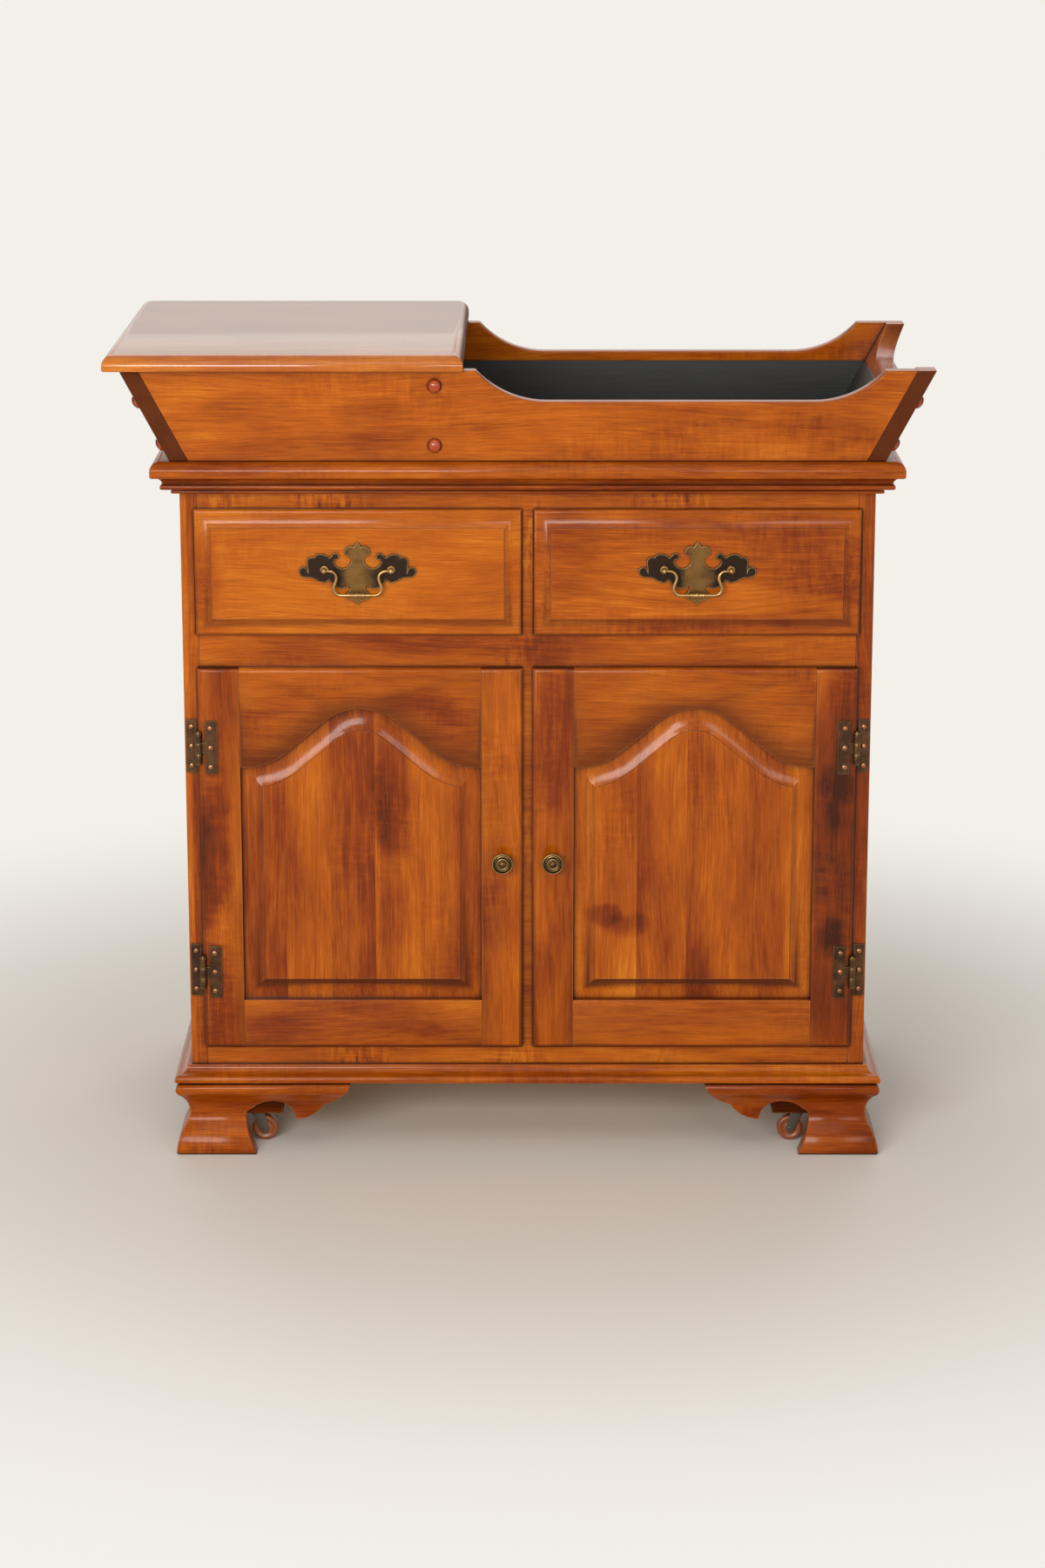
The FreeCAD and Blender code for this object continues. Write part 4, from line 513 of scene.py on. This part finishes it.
drawer_woods = {
    "left": maple("drawer_left_maple", "X", 61.0, tone=0.46, slope_shade=0.5, curl=0.12, mottle=0.8,
                  patches=[(-0.36, 0.69, 0.02, 0.05, 0.14), (-0.05, 0.7, 0.1, 0.08, 0.06)]),
    "right": maple("drawer_right_maple", "X", 67.0, tone=0.56, slope_shade=0.5, curl=0.16,
                   patches=[(0.06, 0.74, 0.04, 0.03, 0.12), (0.3, 0.755, 0.09, 0.012, 0.1),
                            (0.22, 0.64, 0.1, 0.012, 0.12), (0.34, 0.7, 0.08, 0.08, 0.09)]),
}
front_flat = 0.0057
front_foot = 0.0015
front_bow = 0.00405
for side, wood in drawer_woods.items():
    front_node = "drawer_%s_front" % side
    front_field_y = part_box(front_node)[0].y
    front = joined_copy(front_node)
    deepen_cove(front, front_field_y, front_flat, front_foot, front_bow, power=2.0, step=0.001)
    hand_over(ease(front, front_node + "_board", 0.0003), wood, front_node)
    board("drawer_%s_box" % side, raw_wood, 0.0005)
    board("drawer_%s_bottom" % side, raw_wood, 0.0003)


# ---------------------------------------------------------------- peg buttons
# Turned maple buttons glued over the screws of the well: two on each long board over the divider
# and four on each splayed end. Dark red-brown and glossier than the boards.

button_radius = 0.008
button_height = 0.0055
button_seat = 0.0004
button_rim = 0.0012
well_splay = math.radians(28.1)
well_foot_half = case_half + 0.009
well_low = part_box("well_front_board")[0]
well_back_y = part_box("well_back_board")[1].y
well_board_half = (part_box("well_front_board")[1].y - well_low.y) / 2
divider_low, divider_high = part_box("well_divider")
divider_x = (divider_low.x + divider_high.x) / 2
low_rise = 0.0178
front_rise = 0.0857
back_rise = 0.052
end_rise = 0.066
SEAM = 1e-6


def new_piece(name, shape, material, body):
    """Turn a finished bmesh into a piece that rides on a body."""
    piece = set_down(name, shape)
    piece.data.materials.append(material)
    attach(piece, body)
    return piece


def turn(shape, outline, place, steps=32):
    """Spin an outline of (radius, height) points about its own axis and set it in place."""
    older = set(shape.verts)
    points = [shape.verts.new((radius, 0.0, height)) for radius, height in outline]
    lines = [shape.edges.new(pair) for pair in zip(points, points[1:])]
    bmesh.ops.spin(shape, geom=points + lines, cent=(0, 0, 0), axis=(0, 0, 1), steps=steps,
                   angle=math.tau, use_merge=True)
    turned = [vert for vert in shape.verts if vert not in older]
    bmesh.ops.transform(shape, matrix=place, verts=turned)


def close_up(shape):
    """Merge the seams and poles of turned work and face everything outwards."""
    bmesh.ops.remove_doubles(shape, verts=shape.verts, dist=SEAM)
    bmesh.ops.recalc_face_normals(shape, faces=shape.faces)
    for face in shape.faces:
        face.smooth = True


def dome(radius, height, low, steps=7):
    """Points over a dome, from its rim to the middle."""
    angles = [math.pi / 2 * i / steps for i in range(steps + 1)]
    return [(radius * math.cos(a), low + height * math.sin(a)) for a in angles]


def facing(direction, x, y, z):
    """The turn that takes a piece's own axis to a direction, at a place."""
    return Matrix.Translation((x, y, z)) @ Vector(direction).to_track_quat("Z", "Y").to_matrix().to_4x4()


button_outline = [(0.0, -button_seat), (button_radius * 0.96, -button_seat), (button_radius, 0.0008)]
button_outline += dome(button_radius * 0.96, button_height - button_rim, button_rim)
buttons = bmesh.new()
for rise in (low_rise, front_rise):
    turn(buttons, button_outline, facing((0, -1, 0), divider_x, well_low.y, well_low.z + rise))
for rise in (low_rise, back_rise):
    turn(buttons, button_outline, facing((0, 1, 0), divider_x, well_back_y, well_low.z + rise))
for hand in (-1, 1):
    outward = (hand * math.cos(well_splay), 0, -math.sin(well_splay))
    for rise in (low_rise, end_rise):
        face_x = case_centre_x + hand * (well_foot_half + rise * math.tan(well_splay))
        for y in (well_low.y + well_board_half, well_back_y - well_board_half):
            turn(buttons, button_outline, facing(outward, face_x, y, well_low.z + rise))
close_up(buttons)
BUTTON = [(0.0, stain(204, 96, 28)), (0.5, stain(160, 58, 12)), (1.0, stain(84, 26, 4))]
button_wood = maple("button_maple", "X", 71.0, tone=0.45, curl=0.0, stops=BUTTON, coat=1.0, coat_ior=1.42)
new_piece("well_buttons", buttons, button_wood, "cabinet")


# ---------------------------------------------------------------- drawer pulls
# Batwing pulls: a stamped plate with a bevelled edge, two turned posts and a swinging bail with a
# beaded grip. Solid brass, antiqued dark and rubbed bright in the middle; its edges are brightened,
# partly by rubbing and partly with painted highlight.

plate_front_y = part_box("drawer_left_pull_plate")[0].y
post_low, post_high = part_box("drawer_right_pull_posts")
pull_offset_x = (post_low.x + post_high.x) / 2 - case_centre_x
pull_z = (post_low.z + post_high.z) / 2
boring = 0.0762
post_reach = 0.012
post_head = 0.0034
bail_y = plate_front_y - post_reach + post_head
bail_radius = 0.0019
bail_drop = 0.028
bail_bend = 0.008
bail_neck = 0.024
bail_slant = math.radians(20)
bend_steps = 10

# Shares of the wire's radius at the grip, the shoulders and the necks, and how far out a neck begins.
grip_share = 1.0
shoulder_share = 0.82
neck_share = 0.78
neck_from = 0.0335

OLD_BRASS_DIRT = stain(26, 17, 10)
# Bright brass for the edges: partly rubbed wear, partly painted highlight.
RUBBED_AND_HIGHLIT_BRASS = stain(206, 168, 104)


def antique_brass(name, bright, dark, base_tone=0.5, wear_and_highlight=0.5, rim=0.0006, wings=0.0, open_from=0.85):
    """Darkened brass that is rubbed bright where hands reach it.

    Rim is how wide the brightened edge is, partly rubbed and partly painted highlight, and wings
    darkens a plate's ends. A spot that is less open than open_from collects dirt.
    """
    finish = Finish(name)
    cloud = finish.noise(finish.place, (60.0, 60.0, 60.0), 4.0, 0.6)
    scratch = finish.noise(finish.place, (900.0, 160.0, 900.0), 2.0, 0.6)
    pits = finish.noise(finish.place, (1400.0, 1400.0, 1400.0), 2.0, 0.5)
    tarnish = finish.sway(finish.sway(base_tone, cloud, 1.1), scratch, 0.4)
    if wings:
        x = finish.parts(finish.place)[0]
        off = finish.math("ABSOLUTE", finish.math("SUBTRACT", x, case_centre_x))
        off = finish.math("ABSOLUTE", finish.math("SUBTRACT", off, pull_offset_x))
        tarnish = finish.math("ADD", tarnish, finish.spread(off, 0.004, 0.027, 0.0, wings))
    colour = finish.blend(finish.spread(tarnish, 0.1, 0.9), bright, dark)
    dirt = finish.spread(finish.open_air(0.004, 6), open_from, open_from - 0.5, 0.0, 0.9)
    colour = finish.blend(dirt, colour, OLD_BRASS_DIRT)
    # The edges are brightened: partly rubbed wear, partly painted highlight.
    rubbed_and_highlit = finish.math("MULTIPLY", finish.spread(finish.flatness(rim), 0.998, 0.88), wear_and_highlight)
    finish.give({
        "Base Color": finish.blend(rubbed_and_highlit, colour, RUBBED_AND_HIGHLIT_BRASS),
        "Metallic": 0.9,
        "Roughness": finish.spread(tarnish, 0.0, 1.0, 0.24, 0.42),
    })
    finish.bump(0.25, 0.0001, finish.math("ADD", pits, scratch))
    return finish.material


def bail_line(x):
    """The line of the bail: in from the posts, down round the shoulders and along the grip."""
    start = boring / 2 - post_head - 0.0005
    shoulder = bail_neck + bail_bend
    high_z = -bail_bend * (1 + math.sin(bail_slant))
    low_z = -bail_drop - high_z
    grip = shoulder - 2 * bail_bend * math.cos(bail_slant) + (high_z - low_z) * math.tan(bail_slant)
    quarter = math.radians(90)
    points = [(boring / 2 + post_head, 0.0), (start, 0.0)]
    for i in range(bend_steps + 1):
        angle = quarter + (quarter + bail_slant) * i / bend_steps
        points.append((shoulder + bail_bend * math.cos(angle), -bail_bend + bail_bend * math.sin(angle)))
    for i in range(bend_steps + 1):
        angle = bail_slant - (quarter + bail_slant) * i / bend_steps
        points.append((grip + bail_bend * math.cos(angle),
                       bail_bend - bail_drop + bail_bend * math.sin(angle)))
    points += [(-across, up) for across, up in reversed(points)]
    return [(x + across, bail_y, pull_z + up) for across, up in points]


def bent_wire(name, x):
    """Round wire bent to the bail's line, a little thinner towards the shoulders and the necks."""
    wire = bpy.data.curves.new(name, "CURVE")
    wire.dimensions = "3D"
    wire.bevel_depth = bail_radius
    wire.bevel_resolution = 5
    wire.use_fill_caps = True
    line = wire.splines.new("POLY")
    route = bail_line(x)
    line.points.add(len(route) - 1)
    for point, spot in zip(line.points, route):
        point.co = (*spot, 1.0)
        hang = min(1.0, max(0.0, (pull_z - spot[2]) / bail_drop * 2.5))
        swelling = shoulder_share + (grip_share - shoulder_share) * hang
        point.radius = swelling if abs(spot[0] - x) < neck_from else neck_share
    drawn = bpy.data.objects.new(name, wire)
    shape = bmesh.new()
    shape.from_mesh(bpy.data.meshes.new_from_object(drawn))
    bpy.data.objects.remove(drawn)
    bmesh.ops.remove_doubles(shape, verts=shape.verts, dist=SEAM)
    return shape


plate_brass = antique_brass("plate_brass", stain(132, 96, 50), stain(42, 30, 22), base_tone=0.35,
                            wear_and_highlight=1.0, rim=0.0013, wings=0.6)
bail_brass = antique_brass("bail_brass", stain(186, 146, 90), stain(92, 66, 40), base_tone=0.4, wear_and_highlight=0.3)
head_middle = post_reach - post_head
post_outline = [
    (0.0, 0.0), (0.005, 0.0), (0.005, 0.0009), (0.0044, 0.0016), (0.0028, 0.0021), (0.0022, 0.003),
    (0.0022, head_middle - post_head - 0.0002), (0.0027, head_middle - post_head + 0.0002),
]
post_outline += [
    (post_head * math.sin(a), head_middle - post_head * math.cos(a))
    for a in [math.radians(52 + 128 * i / 12) for i in range(13)]
]
grip_outline = [
    (0.0019, -0.0085), (0.0026, -0.0078), (0.0026, -0.0066), (0.0019, -0.0058), (0.0022, -0.0042),
    (0.0024, -0.0034), (0.0017, -0.0028), (0.0029, -0.0014), (0.003, 0.0),
]
grip_outline += [(radius, -along) for radius, along in reversed(grip_outline[:-1])]
for side, hand in (("left", -1), ("right", 1)):
    pull_x = case_centre_x + hand * pull_offset_x
    plate_node = "drawer_%s_pull_plate" % side
    hand_over(eased_copy(plate_node, plate_node + "_sheet", 0.0005, 50.0), plate_brass, plate_node)
    posts = bmesh.new()
    for way in (-1, 1):
        turn(posts, post_outline, facing((0, -1, 0), pull_x + way * boring / 2, plate_front_y, pull_z))
    close_up(posts)
    turned_posts = new_piece("drawer_%s_turned_posts" % side, posts, bail_brass, "drawer_" + side)
    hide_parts("drawer_%s_pull_posts" % side)
    bail = bent_wire("drawer_%s_wire" % side, pull_x)
    turn(bail, grip_outline, facing((1, 0, 0), pull_x, bail_y, pull_z - bail_drop), 24)
    for face in bail.faces:
        face.smooth = True
    swinging = new_piece("drawer_%s_swinging_bail" % side, bail, bail_brass, "bail_" + side)
    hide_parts("drawer_%s_bail" % side)


# ---------------------------------------------------------------- door knobs
# Small turned brass knobs: a foot on the door, a waisted neck, a rounded rim, a sunk ring and a
# domed middle. The ring has gone almost black and the dome is rubbed bright.

knob_brass = antique_brass("knob_brass", stain(128, 94, 58), stain(38, 26, 18), wear_and_highlight=0.7, open_from=0.99)
knob_low, knob_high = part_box("door_right_knob")
knob_radius = (knob_high.x - knob_low.x) / 2
knob_reach = knob_high.y - knob_low.y
knob_offset_x = (knob_low.x + knob_high.x) / 2 - case_centre_x
knob_z = (knob_low.z + knob_high.z) / 2
door_face_y = knob_high.y

# Shares of the radius and of the reach, from the foot round the rim and down into the ring.
knob_shares = [
    (0.0, 0.0), (0.54, 0.0), (0.54, 0.05), (0.48, 0.1), (0.4, 0.18), (0.37, 0.3), (0.38, 0.42),
    (0.46, 0.5), (0.66, 0.57), (0.88, 0.64), (0.98, 0.7), (1.0, 0.76), (0.98, 0.83), (0.93, 0.87),
    (0.87, 0.86), (0.84, 0.8), (0.82, 0.7), (0.78, 0.66), (0.62, 0.65), (0.57, 0.7), (0.56, 0.82),
    (0.52, 0.87), (0.46, 0.87), (0.42, 0.83), (0.38, 0.82),
]
knob_outline = [(knob_radius * across, knob_reach * along) for across, along in knob_shares]
knob_outline += dome(knob_radius * 0.37, knob_reach * 0.16, knob_reach * 0.84)
for side, hand in (("left", -1), ("right", 1)):
    knob_x = case_centre_x + hand * knob_offset_x
    knob = bmesh.new()
    turn(knob, knob_outline, facing((0, -1, 0), knob_x, door_face_y, knob_z), 48)
    close_up(knob)
    turned_knob = new_piece("door_%s_turned_knob" % side, knob, knob_brass, "door_" + side)
    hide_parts("door_%s_knob" % side)


# ---------------------------------------------------------------- hinges and their screws
# Butterfly-leaf hinges of antiqued sheet brass, curled round a steel pin, each leaf held by three
# round-head copper-coloured screws. Under the lid is a pair of plain butt hinges.

leaf_low, leaf_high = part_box("case_hinge_leaves")
hinge_brass = antique_brass("hinge_brass", stain(116, 80, 52), stain(50, 34, 24), base_tone=0.6, wear_and_highlight=0.7)
for node in ("case_hinge_leaves", "door_left_hinge_leaves", "door_right_hinge_leaves",
             "lid_hinge_back_leaves", "lid_hinge_leaves"):
    hand_over(eased_copy(node, node + "_sheet", 0.0002, 40.0), hinge_brass, node)

screw_copper = antique_brass("screw_copper", stain(172, 118, 84), stain(88, 56, 36), base_tone=0.4, wear_and_highlight=0.2)
screw_radius = 0.0031
screw_height = 0.0013
screw_seat = 0.0002
screw_pitch = 0.023
leaf_half = 0.03125
leaf_thick = 0.0016
hinge_levels = (leaf_low.z + leaf_half, leaf_high.z - leaf_half)
case_leaf_middle = case_half - 0.0077
door_leaf_middle = case_half - 0.0301
screw_outline = [(screw_radius, -screw_seat)] + dome(screw_radius, screw_height, 0.0)


def leaf_screws(name, middle, face_y, body, hand):
    """Three screws up each leaf on one side of the cabinet."""
    heads = bmesh.new()
    for level in hinge_levels:
        for step in (-1, 0, 1):
            x = case_centre_x + hand * middle
            turn(heads, screw_outline, facing((0, -1, 0), x, face_y, level + step * screw_pitch), 20)
    close_up(heads)
    new_piece(name, heads, screw_copper, body)


for side, hand in (("left", -1), ("right", 1)):
    leaf_screws("case_%s_screws" % side, case_leaf_middle, case_front_y - leaf_thick, "cabinet", hand)
    leaf_screws("door_%s_screws" % side, door_leaf_middle, door_face_y - leaf_thick, "door_" + side, hand)


# ---------------------------------------------------------------- catches
# Magnetic catches of brown moulded plastic, one behind the free edge of each door. They are
# screwed under the rail.

catch = Finish("catch_plastic")
catch_grain = catch.noise(catch.place, (700.0, 700.0, 700.0))
catch.give({
    "Base Color": catch.blend(catch_grain, stain(96, 62, 38), stain(122, 82, 52)),
    "Roughness": catch.spread(catch_grain, 0.3, 0.7, 0.42, 0.55),
})
catch.bump(0.3, 0.0001, catch_grain)
hand_over(eased_copy("door_catches", "door_catches_moulded", 0.0008), catch.material, "door_catches")


# ---------------------------------------------------------------- casters
# Swivel casters behind the feet: a bent steel fork on a stem, and a solid wheel of amber plastic
# that turns on a riveted axle. Only a little of them shows through the scrolls.

steel = Finish("plated_steel")
steel_cloud = steel.noise(steel.place, (90.0, 90.0, 90.0), 3.0, 0.6)
steel.give({
    "Base Color": steel.blend(steel_cloud, stain(118, 112, 104), stain(78, 72, 66)),
    "Metallic": 1.0,
    "Roughness": steel.spread(steel_cloud, 0.3, 0.7, 0.3, 0.5),
})
steel.bump(0.2, 0.0001, steel.noise(steel.place, (800.0, 800.0, 800.0)))

amber = Finish("amber_plastic")
amber_cloud = amber.noise(amber.place, (120.0, 120.0, 120.0), 3.0, 0.6)
amber.give({
    "Base Color": amber.blend(amber_cloud, stain(158, 84, 40), stain(112, 54, 22)),
    "Roughness": amber.spread(amber_cloud, 0.3, 0.7, 0.25, 0.42),
})
amber.bump(0.2, 0.0002, amber_cloud)

wheel_half = 0.006
axle_hole = 0.0021
tread_round = 0.003
tread_side = 0.0125
wheel_outline = [(axle_hole, -wheel_half), (0.005, -wheel_half), (0.006, 0.001 - wheel_half),
                 (0.0095, 0.001 - wheel_half), (0.0105, -wheel_half), (0.0128, -wheel_half)]
wheel_outline += [
    (tread_side + tread_round * math.cos(a), tread_round - wheel_half + tread_round * math.sin(a))
    for a in [math.radians(-90 + 90 * i / 6) for i in range(1, 7)]
]
wheel_outline += [(radius, -along) for radius, along in reversed(wheel_outline)]
wheel_outline.append(wheel_outline[0])
for end in ("front", "rear"):
    for side in ("left", "right"):
        corner = "%s_%s" % (end, side)
        fork_node = "caster_fork_" + corner
        hand_over(eased_copy(fork_node, fork_node + "_bent", 0.0003, 40.0), steel.material, fork_node)
        low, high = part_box("caster_wheel_" + corner)
        middle = (low + high) / 2
        wheel = bmesh.new()
        turn(wheel, wheel_outline, facing((0, 1, 0), middle.x, middle.y, middle.z), 48)
        close_up(wheel)
        turned_wheel = new_piece("caster_wheel_%s_turned" % corner, wheel, amber.material,
                                 "wheel_" + corner)
        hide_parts("caster_wheel_" + corner)


# ---------------------------------------------------------------- floor and light
# A plain pale floor that fades into a plain white room, lit by a large soft lamp high in front, two
# low windows at the left and right, a soft lamp behind and a little light from the room.

ROOM_WHITE = stain(243, 240, 234)
ROOM_LIGHT = 0.35
stage = bmesh.new()
bmesh.ops.create_circle(stage, cap_ends=True, segments=96, radius=14.0)
floor = set_down("studio_floor", stage)
pale = Finish("pale_floor")
pale_cloud = pale.node("TexNoise", {"Vector": pale.place, "Scale": 0.6})
pale.give({
    "Base Color": pale.blend(pale_cloud, stain(236, 232, 224), stain(242, 238, 230)),
    "Roughness": 0.7,
})
from_middle = pale.node("VectorMath", {0: pale.place}, output="Value", operation="LENGTH")
rays = pale.nodes.new("ShaderNodeLightPath")
seen = pale.math("MAXIMUM", rays.outputs["Is Camera Ray"], rays.outputs["Is Glossy Ray"])
fade = pale.math("MULTIPLY", pale.spread(from_middle, 0.5, 1.5), seen)
glow = pale.node("Emission", {"Color": ROOM_WHITE, "Strength": 1.0})
faded = pale.node("MixShader", {0: fade, 1: pale.shader.outputs[0], 2: glow})
pale.fill(pale.nodes["Material Output"].inputs["Surface"], faded)
floor.data.materials.append(pale.material)

world = bpy.context.scene.world or bpy.data.worlds.new("studio")
bpy.context.scene.world = world
world.use_nodes = True
room = world.node_tree
room_rays = room.nodes.new("ShaderNodeLightPath")
room_seen = room.nodes.new("ShaderNodeMath")
room_seen.operation = "MAXIMUM"
room.links.new(room_rays.outputs["Is Camera Ray"], room_seen.inputs[0])
room.links.new(room_rays.outputs["Is Glossy Ray"], room_seen.inputs[1])
room_level = room.nodes.new("ShaderNodeMapRange")
room_level.inputs["To Min"].default_value = ROOM_LIGHT
room_level.inputs["To Max"].default_value = 1.0
room.links.new(room_seen.outputs[0], room_level.inputs["Value"])
room.nodes["Background"].inputs["Color"].default_value = ROOM_WHITE
room.links.new(room_level.outputs[0], room.nodes["Background"].inputs["Strength"])


def lamp(name, wide, high, power, place, aim, colour=(1.0, 1.0, 1.0)):
    """A soft rectangular lamp at a place, aimed at a point."""
    light = bpy.data.lights.new(name, "AREA")
    light.shape = "RECTANGLE"
    light.size = wide
    light.size_y = high
    light.energy = power
    light.color = colour
    holder = bpy.data.objects.new(name, light)
    holder.location = place
    holder.rotation_euler = (Vector(aim) - Vector(place)).to_track_quat("-Z", "Y").to_euler()
    bpy.context.scene.collection.objects.link(holder)


lamp("front_soft", 2.4, 1.5, 16.0, (-0.3, -2.6, 3.0), (0.0, -0.1, 0.5), (1.0, 0.98, 0.95))
lamp("left_window", 1.9, 0.8, 79.0, (-1.15, -3.6, 1.45), (0.0, 0.0, 0.5), (1.0, 0.99, 0.97))
lamp("right_window", 0.9, 0.7, 14.0, (1.35, -3.5, 1.45), (0.0, 0.0, 0.5), (1.0, 0.97, 0.93))
lamp("rear_soft", 2.6, 1.2, 26.0, (0.0, 2.2, 3.0), (0.0, 0.7, 0.0))


# ---------------------------------------------------------------- camera
# A long lens a little above the lid, aimed slightly down at the middle of the cabinet, so that its
# uprights stay nearly parallel.

camera_pitch = math.radians(14.45)
camera_yaw = math.radians(0.04)
camera_data = bpy.data.cameras.new("camera")
camera_data.lens = 89.44
camera_data.sensor_width = 36.0
camera = bpy.data.objects.new("camera", camera_data)
camera.location = (0.0062, -4.57375, 1.5746)
camera.rotation_euler = (math.radians(90) - camera_pitch, 0.0, camera_yaw)
bpy.context.scene.collection.objects.link(camera)
bpy.context.scene.camera = camera
bpy.context.scene.view_settings.view_transform = "Standard"
